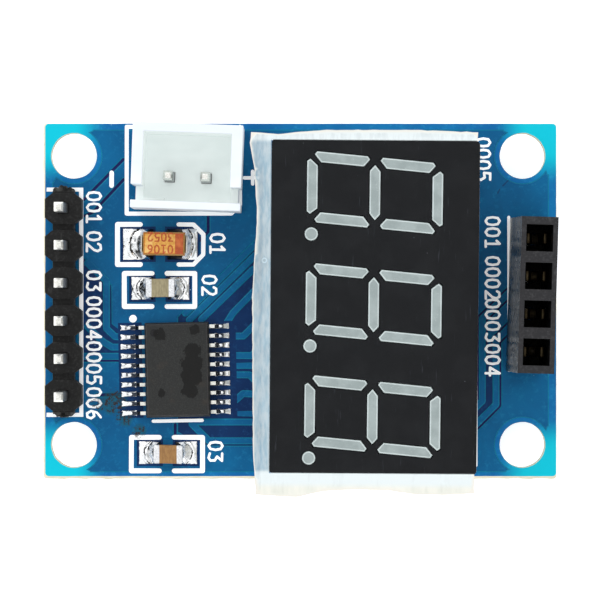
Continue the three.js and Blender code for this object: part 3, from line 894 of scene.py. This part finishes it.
def board_core():
    """The laminate: drilled, with the scored and broken edge of a board snapped out of a panel."""
    painting = Painting()
    painting.area(board_outline(), "laminate")
    drill(painting)
    verts, faces, _ = painting.cells()
    count = len(verts)
    inset = MASK_DEPTH - 0.01
    points = [(x, y, z) for z in (TOP - inset, BOARD_LOW.z + inset) for x, y in verts]
    centre = (BOARD_LOW + BOARD_HIGH) / 2
    half = (BOARD_HIGH - BOARD_LOW) / 2
    web = {}

    def web_points(i):
        """The two points below a rim point on the outer side, pushed out where the web was broken."""
        if i not in web:
            x, y = verts[i]
            torn = 1 + ripple(x, y, 0.8, 0.35, 8.0)
            push_x = EDGE_LIP["right"] if x > centre.x else EDGE_LIP["left"]
            push_y = EDGE_LIP["top"] if y > centre.y else EDGE_LIP["bottom"]
            if half.x - abs(x - centre.x) < CORNER_ROUND:
                x += math.copysign(push_x * torn, x - centre.x)
            if half.y - abs(y - centre.y) < CORNER_ROUND:
                y += math.copysign(push_y * torn, y - centre.y)
            web[i] = (len(points), len(points) + 1)
            for share, seed in ((0.68, 3.0), (0.36, 4.0)):
                points.append((x, y, TOP * share + ripple(x, y, 0.5, 0.08, seed)))
        return web[i]

    solid, rim = thickened(faces, count)
    for a, b, _ in rim:
        x, y = verts[a]
        if min(half.x - abs(x - centre.x), half.y - abs(y - centre.y)) < 0.3:
            a1, a2 = web_points(a)
            b1, b2 = web_points(b)
            solid += [(b, a, a1, b1), (b1, a1, a2, b2), (b2, a2, a + count, b + count)]
        else:
            solid.append((b, a, a + count, b + count))
    new_piece("board_laminate", "fibreglass", (points, solid), [make_laminate()], smooth=30,
              nodes=["circuit_board"])


def mask_ground():
    """What both masks start from: the pour, and the bare corners and strip round it."""
    edge = board_outline()
    painting = Painting(edge)
    painting.area(edge, "glow")
    pour = rounded_rectangle(POUR["left"], POUR["bottom"], POUR["right"], POUR["top"], 0.4)
    painting.relief("copper", [pour])
    painting.relief("glow", corner_cuts())
    for strip in outer_strips():
        painting.area(strip, "glow")
    return painting


def mask_top(materials):
    """Solder mask over copper and bare laminate on the component side."""
    painting = mask_ground()
    painting.relief("bare", [MIDDLE_BARE, LEFT_BARE])
    painting.relief("gap", lines=[(points, GAP) for points in GAPS]
                    + [(points, TRACK + 2 * GAP) for points in RIGHT_TRACKS])
    painting.area(RIGHT_BARE, "bare")
    painting.relief("copper", lines=[(points, TRACK) for points in TRACKS + RIGHT_TRACKS])
    for points in SCRATCHES:
        painting.line(points, 0.1, "scratch")
    for pads, extra in [(chip_pads(), 0.3)] + [(small_pads(part), 0.0) for part in SMALL_LANDS]:
        for plan, half_length, half_width in pads:
            length = half_length + PAD_CLEARANCE
            width = half_width + PAD_CLEARANCE
            painting.area(plan.rectangle(-length, -width, length + extra, width), "bare")
    drill(painting, 0.02)
    layer("solder_mask_top", "solder_mask", painting, MASK_LEVELS, TOP - MASK_DEPTH, materials)


def mask_underside(materials):
    """The underside: one big pour, lands round every pin, and tracks between the two pin rows."""
    painting = mask_ground()
    places = [(*tail_place(pin), land) for pin, land in THROUGH_PINS]
    painting.relief("gap", [circle(x, y, land + 0.28, 24) for x, y, land in places])
    tracks = []
    for i, pin in enumerate(PINS[1:5]):
        x, y = tail_place(pin)
        bend = 2.2 + 0.62 * i
        tracks.append([(x, y), (x + bend, y), (x + bend + 2.4, y - 2.4), (-1.2, y - 2.4)])
    for i, pin in enumerate(CONTACTS[1:3]):
        x, y = tail_place(pin)
        bend = 2.4 + 0.6 * i
        tracks.append([(x, y), (x - bend, y), (x - bend - 1.2, y - 1.2), (4.9, y - 1.2)])
    painting.relief("gap", lines=[(points, TRACK + 0.5) for points in tracks])
    painting.relief("copper", lines=[(points, TRACK) for points in tracks])
    painting.relief("copper", [circle(x, y, land + 0.06, 24) for x, y, land in places])
    drill(painting, 0.02)
    layer("solder_mask_underside", "solder_mask", painting, MASK_LEVELS, BOARD_LOW.z + MASK_DEPTH, materials,
          facing=-1)


def masks():
    """Both sides of the solder mask; the materials go by the kinds of ground, and the last by the rims."""
    materials = [
        make_mask("mask_over_copper", (3, 96, 145), (2, 85, 133), (28, 121, 165)),
        make_mask("mask_over_back_copper", (6, 49, 97), (4, 39, 84), (26, 74, 122)),
        make_mask("mask_in_gap", (20, 28, 86), (14, 20, 72), (34, 42, 104)),
        make_bare_edge(),
        make_mask("mask_scratch", (20, 66, 110), (14, 60, 104), (30, 82, 122)),
        make_mask("mask_on_copper_edge", (10, 118, 152), (6, 106, 140), (36, 144, 172)),
    ]
    mask_top(materials)
    mask_underside(materials)


# ---- print on the board -----------------------------------------------------------------------

# digits as strokes in a box 0.62 wide and 1 high
DIGITS = {
    "0": [[(0.31, 1), (0.08, 0.86), (0.02, 0.5), (0.08, 0.14), (0.31, 0), (0.54, 0.14), (0.6, 0.5),
           (0.54, 0.86), (0.31, 1)]],
    "1": [[(0.1, 0.78), (0.33, 1), (0.33, 0)], [(0.1, 0), (0.56, 0)]],
    "2": [[(0.04, 0.8), (0.14, 0.97), (0.45, 0.98), (0.58, 0.76), (0.5, 0.5), (0.04, 0), (0.6, 0)]],
    "3": [[(0.04, 0.96), (0.58, 0.96), (0.28, 0.6), (0.55, 0.45), (0.56, 0.15), (0.35, 0), (0.04, 0.08)]],
    "4": [[(0.46, 0), (0.46, 1), (0.02, 0.3), (0.62, 0.3)]],
    "5": [[(0.56, 1), (0.1, 1), (0.06, 0.56), (0.4, 0.6), (0.58, 0.34), (0.46, 0.04), (0.04, 0.04)]],
    "6": [[(0.5, 0.98), (0.16, 0.72), (0.04, 0.3), (0.2, 0.02), (0.48, 0.04), (0.58, 0.3), (0.42, 0.52),
           (0.08, 0.42)]],
}
DIGIT_WIDTH = 0.62

# pin numbers down both sides and part numbers: the digits, the x of their middle and the y they start from
LABELS = [
    ("001", -14.16, 7.42), ("02", -14.16, 4.68), ("03", -14.16, 2.0), ("0004", -14.16, 0.23),
    ("0005", -14.16, -2.85), ("006", -14.16, -6.0),
    ("001", 13.15, 5.72), ("0002", 13.15, 2.98), ("0003", 13.15, 0.07), ("004", 13.15, -3.03),
    ("01", -5.7, 4.55), ("02", -6.25, 1.7), ("03", -5.83, -9.68), ("0005", 12.5, 11.1),
]

# outlines, polarity marks and the display's corner, with the width of each line
PRINTED_LINES = [
    ([(14.25, 5.71), (14.27, -4.77)], 0.2),
    ([(box("power_connector_housing")[0].x + 0.3, 11.89), (-11.92, 11.89), (-11.92, 5.945), (-4.75, 5.945),
      (-4.16, 6.5), (-4.16, 11.89)], INK),
    ([(-12.95, 7.86), (-12.95, 8.74)], 0.31),
    ([(-3.85, 8.39), (-2.95, 8.39)], 0.24),
    ([(-3.29, 7.97), (-3.29, 8.83)], 0.24),
    ([(-10.98, 5.2), (-12.55, 5.2), (-12.55, 2.46), (-10.98, 2.46)], INK + 0.06),
    ([(-8.36, 5.2), (-7.35, 5.2), (-6.67, 4.52), (-6.67, 3.14), (-7.35, 2.46), (-8.36, 2.46)], INK + 0.02),
    ([(-10.18, 1.85), (-12.08, 1.85), (-12.08, -0.42), (-10.18, -0.42)], INK + 0.06),
    ([(-9.16, 1.85), (-7.25, 1.85), (-7.25, -0.42), (-9.16, -0.42)], INK + 0.06),
    ([(-9.68, -9.38), (-11.6, -9.38), (-11.6, -11.67), (-9.68, -11.67)], INK + 0.06),
    ([(-8.66, -9.38), (-6.72, -9.38), (-6.72, -11.67), (-8.66, -11.67)], INK + 0.06),
]
HEADER_FRAME = {"right": -15.03, "top": 7.59, "bottom": -7.84}
PIN_ONE_DOT = (-11.49, -1.25)


def draw_digits(painting, text, width, kind, place):
    """Digits as lines; place(i, u, v) puts a point of the one numbered i, u across and v up."""
    for i, digit in enumerate(text):
        for line in DIGITS[digit]:
            painting.line([place(i, u, v) for u, v in line], width, kind)


def print_top():
    """White print of the component side: outlines, polarity marks, pin numbers and part numbers."""
    painting = Painting()
    right, top, bottom = HEADER_FRAME["right"], HEADER_FRAME["top"], HEADER_FRAME["bottom"]
    edge = BOARD_LOW.x + 0.1
    painting.line([(edge, top), (right, top), (right, bottom), (edge, bottom)], INK, "ink", flat=True)
    for points, width in PRINTED_LINES:
        painting.line(points, width, "ink")
    chip = plan_of("chip_body")
    painting.line([chip.at(-1.75, -3.5), chip.at(1.6, -3.5)], 0.23, "ink")
    painting.area(circle(*PIN_ONE_DOT, 0.26, 20), "ink")
    wide = (LABEL_STEP - 0.2) / DIGIT_WIDTH
    for text, x, start in LABELS:
        draw_digits(painting, text, DIGIT_LINE, "ink", lambda i, u, v: (x + (v - 0.5) * LABEL_HEIGHT,
                                                                        start - i * LABEL_STEP - u * wide))
    painting.line([(-2.0, 11.1), (12.0, 11.1), (12.0, -11.3)], 0.2, "ink")
    for outline, _ in painting.areas:
        outline[:, 0] += [ripple(x, y, 0.4, 0.02, 1.0) for x, y in outline]
        outline[:, 1] += [ripple(x, y, 0.4, 0.02, 2.0) for x, y in outline]
    layer("board_print_top", "print_white", painting, PRINT_LEVELS, TOP - PRINT_SINK, [make_ink()], smooth=30)


def print_underside():
    """Pin numbers and polarity marks beside the rows of joints."""
    painting = Painting()
    for pins, aside in ((PINS, 2.5), (CONTACTS, -1.5)):
        for i, pin in enumerate(pins):
            x, y = tail_place(pin)
            draw_digits(painting, str(i + 1), 0.18, "ink",
                        lambda _, u, v: (x + aside - u * 0.9, y - 0.45 + v * 0.9))
    for pin in POWER_PINS:
        x, y = tail_place(pin)
        painting.line([(x - 0.4, y - 1.7), (x + 0.4, y - 1.7)], 0.2, "ink")
    painting.line([(x, y - 2.1), (x, y - 1.3)], 0.2, "ink")
    layer("board_print_underside", "print_white", painting, PRINT_LEVELS, BOARD_LOW.z + PRINT_SINK,
          [make_ink()], facing=-1, smooth=30)


# ---- solder -----------------------------------------------------------------------------------

CHIP_PAD_SHIFT = -0.155     # the chip sits a little to one side of its lands
CHIP_PAD_REACH = 3.72       # from the middle of the lands to their outer ends
CHIP_PAD = (1.0, 0.36)

# tinned lands of the small parts: left, right, bottom and top of the pair, and the gap between the two
SMALL_LANDS = {
    "tantalum": (-12.16, -7.08, 2.79, 4.90, (-10.09, -9.13)),
    "ceramic_upper": (-11.59, -7.64, 0.05, 1.60, (-10.10, -9.10)),
    "ceramic_lower": (-11.07, -7.11, -11.20, -9.66, (-9.60, -8.60)),
}


def small_pads(part):
    """The two lands of a small part, each as its middle, half its length and half its width."""
    left, right, bottom, top, gap = SMALL_LANDS[part]
    return [(Plan((a + b) / 2, (bottom + top) / 2), (b - a) / 2, (top - bottom) / 2)
            for a, b in ((left, gap[0]), (gap[1], right))]


def chip_pads():
    """The lands under the chip's leads, in the order of the leads."""
    chip = plan_of("chip_body")
    length, width = CHIP_PAD
    pads = []
    for lead in LEADS:
        centre = middle(lead)
        side = -1 if centre.x < chip.x else 1
        x, _ = chip.at(CHIP_PAD_SHIFT + side * (CHIP_PAD_REACH - length / 2), (centre.y - chip.y) / chip.cos)
        pads.append((Plan(x, centre.y, heading("chip_body")), length / 2, width / 2))
    return pads


def chip_joints():
    """The fillets of solder on the chip's leads, highest at the end of each foot."""
    centre_x = middle("chip_body").x
    lumps = []
    for i, (plan, half_length, half_width) in enumerate(chip_pads()):
        def height(s, t):
            out = s if plan.x > centre_x else 1 - s
            ends = (1 - abs(2 * t - 1) ** 3) * (1 - abs(2 * s - 1) ** 8)
            wave = 0.035 * noise.noise(Vector((s * 5, t * 2, i * 3.7)))
            return 0.02 + (0.05 + 0.13 * math.exp(-((out - 0.42) / 0.24) ** 2) + wave) * ends
        lumps.append(grid_patch(plan, half_length, half_width, height, 18, 8, TOP))
    bright = make_solder("solder_on_leads", 0.25)
    new_piece("chip_solder_joints", "solder", joined(lumps), [bright], smooth=60)


# the CAD node on each pair of small lands, and how high the solder climbs its ends
JOINED_PARTS = {
    "tantalum": ("tantalum_capacitor_body", 0.6),
    "ceramic_upper": ("ceramic_capacitor_upper", 0.45),
    "ceramic_lower": ("ceramic_capacitor_lower", 0.5),
}
JOINT_CELLS = 36


def capacitor_joints():
    """Solder that climbs the ends of the capacitors in curved waves, painted dark as shadow next to each end
    of the part and in a line along the foot of the fillet.
    """
    tinned = make_solder("solder_on_lands", 0.5)
    shadow_and_dark_line = make_tin("solder_shadow_and_dark_line", (58, 54, 52), (30, 28, 28))
    for part, (node, rise) in JOINED_PARTS.items():
        low, high = box(node)
        lumps = []
        marks = []
        for k, (plan, half_length, half_width) in enumerate(small_pads(part)):
            face, sign = ((low.x, -1), (high.x, 1))[k]
            reach = abs(plan.x + sign * half_length - face)
            seed = k * 5 + rise * 9

            def bent(s, t):
                """0 at the end of the part and 1 at the land's end, on curves that bend round the part."""
                away = sign * (plan.x + (2 * s - 1) * half_length - face) / reach
                return away + 0.42 * (2 * t - 1) ** 2 + 0.07 * noise.noise(Vector((s * 5, t * 5, seed)))

            def height(s, t):
                edge = (1 - abs(2 * t - 1) ** 8) * (1 - abs(2 * s - 1) ** 12)
                out = max(0.0, bent(s, t))
                climb = rise * max(0.0, 1 - out / 0.62) ** 1.5 + 0.06 * math.exp(-((out - 0.78) / 0.1) ** 2)
                return 0.02 + (0.05 + climb + 0.03 * noise.noise(Vector((s * 9, t * 9, seed)))) * edge
            lumps.append(grid_patch(plan, half_length, half_width, height, JOINT_CELLS, JOINT_CELLS, TOP))
            for i in range(JOINT_CELLS):
                for j in range(JOINT_CELLS):
                    out = bent((i + 0.5) / JOINT_CELLS, (j + 0.5) / JOINT_CELLS)
                    limit = 0.66 + 0.1 * noise.noise(Vector((i * 0.3, j * 0.3, seed)))
                    # dark next to the part's end, a painted shadow, and in a line along the fillet's foot
                    marks += [int(out < 0.05 or 0.58 < out < limit), 0]
            marks += [0] * (4 * JOINT_CELLS)
        new_piece(f"{part}_solder_joints", "solder", joined(lumps), [tinned, shadow_and_dark_line], marks=marks,
                  smooth=60)


def joints_below():
    """Solder cones round the pins on the underside, each on its own land."""
    material = make_solder("solder_cones", 0.3)
    for group, (pins, land) in PIN_GROUPS.items():
        lumps = []
        for i, pin in enumerate(pins):
            x, y = tail_place(pin)
            tall = 0.95 + ripple(x, y, 3, 0.25, 1.0)
            cone = [(0.3 + (land - 0.34) * (1 - k / 9) ** 1.8, -0.05 - tall * k / 9) for k in range(1, 9)]
            profile = [(0, 0.06), (land - 0.32, 0.05), (land, 0.01), (land, -0.03), *cone,
                       (0.16, -tall - 0.07), (0, -tall - 0.09)]
            profile = [(radius, BOARD_LOW.z + z) for radius, z in reversed(profile)]
            lumps.append(lathe(x, y, profile, wobble=0.07, seed=i * 2.3))
        new_piece(f"{group}_solder_joints", "solder", joined(lumps), [material], smooth=60)


# ---- parts on the board -----------------------------------------------------------------------


def metal_parts():
    """Header pins, power pins, socket contacts, display pins and chip leads."""
    tin = make_tin("tin_plate", (226, 226, 220), (196, 196, 190))
    # lighter tin on the rounded edges of pins and leads: a painted highlight
    tin_highlight = make_tin("tin_plate_edge_highlight", (240, 240, 236), (214, 214, 208))
    # darker tin on the upright sides of the pins: painted shade
    side = make_tin("tin_plate_side_shade", (142, 144, 144), (112, 114, 114))
    # dark tin for the upright and lower parts of the chip leads: painted shade
    bend = make_tin("tin_plate_bend_shade", (64, 68, 76), (40, 44, 52))
    # bronze, darkened as painted shade deep in the socket's pockets; its rounded edges are lighter as a
    # painted highlight
    shaded_bronze = make_tin("contact_bronze", (62, 54, 38), (44, 38, 26))
    bright = make_tin("contact_bronze_edge_highlight", (88, 78, 56), (66, 58, 40))
    bend_height = TOP + 0.3 * (box("chip_body")[1].z - TOP)
    # upright sides take the painted shade, rounded edges the painted highlight
    for pin in PINS + POWER_PINS:
        refined(pin, f"{pin}_plated", "tin_plate", [tin, tin_highlight, side], edge=0.035,
                pick=lambda centre, normal: 2 if abs(normal.z) < 0.3 else int(abs(normal.z) < 0.97))
    for pin in DISPLAY_PINS:
        refined(pin, f"{pin}_plated", "tin_plate", [tin, tin_highlight], edge=0.03)
    # sides and lower parts of each lead take the painted shade
    for lead in LEADS:
        refined(lead, f"{lead}_formed", "tin_plate", [tin, tin_highlight, bend], edge=0.018,
                pick=lambda centre, normal: 2 if abs(normal.x) > 0.35 or centre.z < bend_height else 0)
    # tails below the board are tin; above it the rounded edges take the painted highlight
    for contact in CONTACTS:
        refined(contact, f"{contact}_stamped", "contact_bronze", [shaded_bronze, bright, tin], edge=0.03,
                pick=lambda centre, normal: 2 if centre.z < TOP else int(0.2 < abs(normal.z) < 0.97))


def header():
    """The header's moulding, and the torn plastic at its two ends where the strip was snapped off."""
    black = make_black_plastic("black_nylon", (33, 33, 33), (70, 70, 70))
    edge = make_black_plastic("black_nylon_edge", (40, 40, 40), (92, 92, 90), edge=True)
    refined("pin_header_housing", "pin_header_moulding", "black_nylon", [black, edge], edge=0.07)
    low, high = box("pin_header_housing")
    centre_x = middle("pin_header_housing").x
    for name, end, sign in (("upper", high.y, 1), ("lower", low.y, -1)):
        middle_y = end - sign * 0.1

        def height(s, t):
            return 1.55 + 0.28 * noise.noise(Vector((s * 6, t * 3, sign * 4.0)))
        points, faces = grid_patch(Plan(centre_x, middle_y), 0.72, 0.16, height, 22, 8, TOP + 0.25)
        torn = []
        for x, y, z in points:
            bulge = 0.3 * (1 - ((x - centre_x) / 0.8) ** 2)
            jag = 0.14 * noise.noise(Vector((x * 4.5, z * 3, sign * 7.0)))
            torn.append((x, y + sign * (bulge + jag if (y - middle_y) * sign > 0 else 0), z))
        new_piece(f"pin_header_snapped_end_{name}", "black_nylon", (torn, faces), [edge], smooth=40)


def socket():
    black = make_black_plastic("black_socket_moulding", (46, 46, 48), (84, 84, 86))
    # light grey rims along the top of the pockets: a painted highlight, with scuffs
    edge = make_black_plastic("black_socket_edge_highlight", (104, 110, 112), (140, 146, 148), edge=True)
    # a little darker inside the pockets: painted shade
    deep = make_black_plastic("black_socket_pocket_shade", (40, 39, 34), (58, 56, 50))
    low, high = box("socket_housing")

    def pick(centre, normal):
        if normal.x < -0.9:
            return 3
        # sloped faces along the top take the painted highlight
        if 0.2 < normal.z < 0.97 and centre.z > high.z - 0.15:
            return 1
        # faces deep inside the pockets take the painted shade
        inner = low.x + 0.25 < centre.x < high.x - 0.25 and low.y + 0.25 < centre.y < high.y - 0.25
        return 2 if inner and centre.z < high.z - 0.5 else 0
    refined("socket_housing", "socket_moulding", "black_nylon", [black, edge, deep, make_socket_wall()],
            edge=0.06, pick=pick)


def power_connector():
    white = make_white_plastic("white_nylon", (222, 228, 234), (214, 221, 228), 0.1)
    # lighter and glowing more on the rounded edges: a painted highlight
    edge = make_white_plastic("white_nylon_edge_highlight", (236, 240, 244), (226, 232, 238), 0.15)
    # the cavity glows far more than the walls: painted light that lifts its shade
    inner = make_white_plastic("white_nylon_cavity_painted_light", (216, 222, 221), (208, 215, 214), 0.34)
    low, high = box("power_connector_housing")

    def pick(centre, normal):
        across = min(centre.x - low.x, high.x - centre.x) > 0.6
        along = min(centre.y - low.y, high.y - centre.y) > 0.4
        return 2 if across and along and low.z + 0.3 < centre.z < high.z - 0.6 else 0
    refined("power_connector_housing", "power_connector_moulding", "white_nylon", [white, edge, inner],
            edge=0.05, pick=pick)


def chip():
    dark = make_chip_plastic("mould_compound", (46, 47, 47), (62, 63, 62))
    edge = make_chip_plastic("mould_compound_edge", (62, 61, 62), (92, 90, 88))
    refined("chip_body", "chip_package", "mould_compound", [dark, edge], edge=0.05)
    top = box("chip_body")[1].z
    profile = [(radius, top + z) for radius, z in ((0, -0.05), (0.26, -0.05), (0.26, 0.004), (0.22, 0.012),
                                                   (0, 0.006))]
    polished = make_chip_plastic("pin_one_mark", (34, 34, 36), (48, 48, 50))
    mark = lathe(*plan_of("chip_body").at(-1.55, 2.55), profile)
    new_piece("chip_pin_one_mark", "mould_compound", mark, [polished], smooth=40)


def tantalum_capacitor():
    """The amber case with its terminals, its polarity stripe and two rows of digits."""
    amber = make_amber("amber_epoxy", (234, 182, 92), (214, 152, 62), (240, 204, 130))
    amber_edge = make_amber("amber_epoxy_edge", (214, 138, 44), (190, 110, 30), (228, 164, 80))
    refined("tantalum_capacitor_body", "tantalum_capacitor_case", "amber_epoxy", [amber, amber_edge],
            edge=0.07)
    tin = make_tin("terminal_tin", (206, 208, 206), (168, 170, 168))
    for node in ("tantalum_terminal_negative", "tantalum_terminal_positive"):
        refined(node, f"{node}_plated", "tin_plate", [tin, tin], edge=0.025)
    low, high = box("tantalum_capacitor_body")
    case = plan_of("tantalum_capacitor_body")
    half = (high.x - low.x) / 2
    wide = (high.y - low.y) / 2 - 0.12
    painting = Painting()
    painting.area(roughened(case.rectangle(half - 0.68, -wide, half - 0.14, wide), 0.15, 0.03, 3.0), "stripe")
    for row, text in ((0.72, "3052"), (-0.12, "0106")):
        draw_digits(painting, text, 0.1, "stripe",
                    lambda i, u, v: case.at(half - 0.84 - 0.46 * i - u * 0.52, row - v * 0.56))
    stripe = make_amber("tantalum_stripe", (198, 98, 44), (176, 76, 36), (214, 122, 62))
    layer("tantalum_polarity_print", "amber_epoxy", painting, {"stripe": 0.03}, high.z - 0.02, [stripe],
          smooth=30)


def ceramic_capacitors():
    cap = make_tin("termination_tin", (228, 230, 232), (196, 198, 202))
    for which, slot, colour, deep in (("upper", "beige_ceramic", (160, 150, 118), (140, 130, 100)),
                                      ("lower", "brown_ceramic", (156, 116, 66), (138, 98, 52))):
        node = f"ceramic_capacitor_{which}"
        ceramic = make_ceramic(f"{which}_ceramic", colour, deep)
        piece = refined(node, f"{node}_chip", slot, [ceramic, cap], edge=0.05, pick=lambda centre, normal: 0)
        split_terminations(piece, *box(node))


def split_terminations(piece, low, high):
    """Gives the two ends of a ceramic capacitor their tinned caps, a little proud of the ceramic."""
    end = 0.42
    proud = 0.015
    build = bmesh.new()
    build.from_mesh(piece.data)
    for x in (low.x + end, high.x - end):
        geometry = build.verts[:] + build.edges[:] + build.faces[:]
        bmesh.ops.bisect_plane(build, geom=geometry, dist=1e-7, plane_co=(x * MM, 0, 0), plane_no=(1, 0, 0))
    for face in build.faces:
        x = face.calc_center_median().x / MM
        if x < low.x + end or x > high.x - end:
            face.material_index = 1
    centre = (low + high) / 2
    for vertex in build.verts:
        x = vertex.co.x / MM
        if x < low.x + end - 0.01 or x > high.x - end + 0.01:
            for axis in (1, 2):
                away = vertex.co[axis] / MM - centre[axis]
                vertex.co[axis] += math.copysign(proud, away) * MM
    build.to_mesh(piece.data)
    build.free()


def display():
    low, high = box("display_shell")
    face = make_display_face()
    side = make_white_plastic("display_side", (232, 230, 222), (224, 221, 210), 0.0)

    def pick(centre, normal):
        inset = min(centre.x - low.x, high.x - centre.x, centre.y - low.y, high.y - centre.y)
        if normal.z > 0.5 and centre.z > high.z - 0.3:
            return 0
        return 0 if inset > 0.6 and centre.z > high.z - 1.3 else 1
    refined("display_shell", "display_case", "display_black", [face, side], edge=0.08, pick=pick)
    segment = make_segment("light_guide", (152, 164, 164), (140, 152, 152))
    # a lighter border round the top of each segment: a painted highlight
    rim = make_segment("light_guide_rim_highlight", (194, 206, 206), (184, 196, 196))
    refined("display_light_guide", "display_segments", "light_guide", [segment, rim], edge=0.02, segments=1,
            rim=0.075)
    refined("display_led_board", "display_back_board", "fibreglass", [make_led_board()], edge=0.04,
            pick=lambda centre, normal: 0)


def film_outline():
    """The rim of the CAD film's upper face, as a loop of points."""
    build = bmesh.new()
    build.from_mesh(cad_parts["protective_film"].data)
    bmesh.ops.remove_doubles(build, verts=build.verts, dist=1e-6)
    left = [e for e in build.edges if sum(f.normal.z > 0.9 for f in e.link_faces) == 1]
    loop = list(left.pop(0).verts)
    while loop[-1] != loop[0]:
        follow = next(e for e in left if loop[-1] in e.verts)
        left.remove(follow)
        loop.append(follow.other_vert(loop[-1]))
    outline = [(v.co.x / MM, v.co.y / MM) for v in loop[:-1]]
    build.free()
    return outline


def protective_film():
    """The display's clear film: one thin wavy sheet, stuck to the face and free past its edges."""
    low, high = box("protective_film")
    face_low, face_high = box("display_shell")
    edge = np.array(roughened(film_outline(), 0.35, 0.05, 6.0))
    columns, rows = (np.arange(low[axis], high[axis], FILM_GRID) for axis in (0, 1))
    grid = np.array([(x, y) for x in columns for y in rows])
    grid = grid[inside(edge, grid)]
    apart = np.min(np.linalg.norm(grid[:, None, :] - edge[None, :, :], axis=2), axis=1)
    painting = Painting(loose=grid[apart > 0.2])
    painting.area(edge, "film")
    verts, faces, _ = painting.cells()
    count = len(verts)

    def lift(x, y):
        out = max(face_low.x - x, x - face_high.x, face_low.y - y, y - face_high.y, 0.0)
        wave = ripple(x, y, 2.6, 0.22, 3.0) + ripple(x, y, 0.9, 0.06, 5.0)
        return face_high.z + 0.03 + min(1.0, out / 0.8) * (wave + 0.03)
    points = [(x, y, lift(x, y) + over) for over in (FILM_THICKNESS, 0.0) for x, y in verts]
    solid, rim = thickened(faces, count)
    shape = (points, solid + walls(rim, count))
    piece = new_piece("protective_film_sheet", "clear_film", shape, [make_film()], body="film", smooth=40,
                      nodes=["protective_film"])
    border = {i for a, b, _ in rim for i in (a, b)}
    mark = piece.data.attributes.new("edge", "FLOAT", "POINT")
    mark.data.foreach_set("value", [float(i % count in border) for i in range(2 * count)])


# ---- studio -----------------------------------------------------------------------------------


def camera():
    """Straight above the board, at the distance that gives the board's top its scale."""
    data = bpy.data.cameras.new("camera")
    half = FRAME_SIDE / 2 / VIEW_SCALE / CAMERA_HEIGHT
    data.sensor_width = 36.0
    data.lens = data.sensor_width / 2 / half
    data.clip_start = 0.01
    data.clip_end = 2.0
    eye = bpy.data.objects.new("camera", data)
    eye.location = (CAMERA_AXIS[0] * MM, CAMERA_AXIS[1] * MM, (TOP + CAMERA_HEIGHT) * MM)
    bpy.context.scene.collection.objects.link(eye)
    bpy.context.scene.camera = eye


def floor():
    """Pale lit floor, level with the lowest pins."""
    low = min(box(pin)[0].z for pin, _ in THROUGH_PINS) * MM
    half = 0.6
    mesh = bpy.data.meshes.new("floor")
    mesh.from_pydata([(-half, -half, low), (half, -half, low), (half, half, low), (-half, half, low)], [],
                     [(0, 1, 2, 3)])
    white = Surface("pale_floor", (240, 240, 240), 0.9, specular=0.0, glow=((255, 255, 255), 0.6))
    mesh.materials.append(white.material)
    ground = bpy.data.objects.new("floor", mesh)
    bpy.context.scene.collection.objects.link(ground)


def lights():
    """A soft surround that is brightest overhead, and a soft key light."""
    scene = bpy.context.scene
    scene.view_settings.view_transform = "Standard"
    scene.world = bpy.data.worlds.new("surround")
    scene.world.use_nodes = True
    tree = scene.world.node_tree
    coordinates = add_node(tree, "TexCoord", {})
    split = add_node(tree, "SeparateXYZ", {0: coordinates.outputs["Generated"]})
    background = tree.nodes["Background"]
    plug(background.inputs["Strength"], add_ramp(tree, split.outputs["Z"], 0.1, 0.8, 0.6, 1.3))
    plug(background.inputs["Color"], (1, 1, 1, 1))

    data = bpy.data.lights.new("key", "AREA")
    data.energy = 0.35
    data.size = 0.25
    key = bpy.data.objects.new("key", data)
    key.location = (-0.22, 0.26, 0.3)
    key.rotation_mode = "QUATERNION"
    key.rotation_quaternion = (-Vector(key.location)).to_track_quat("-Z", "Y")
    scene.collection.objects.link(key)


camera()
board_core()
masks()
print_top()
print_underside()
chip_joints()
capacitor_joints()
joints_below()
metal_parts()
header()
socket()
power_connector()
chip()
tantalum_capacitor()
ceramic_capacitors()
display()
protective_film()
floor()
lights()
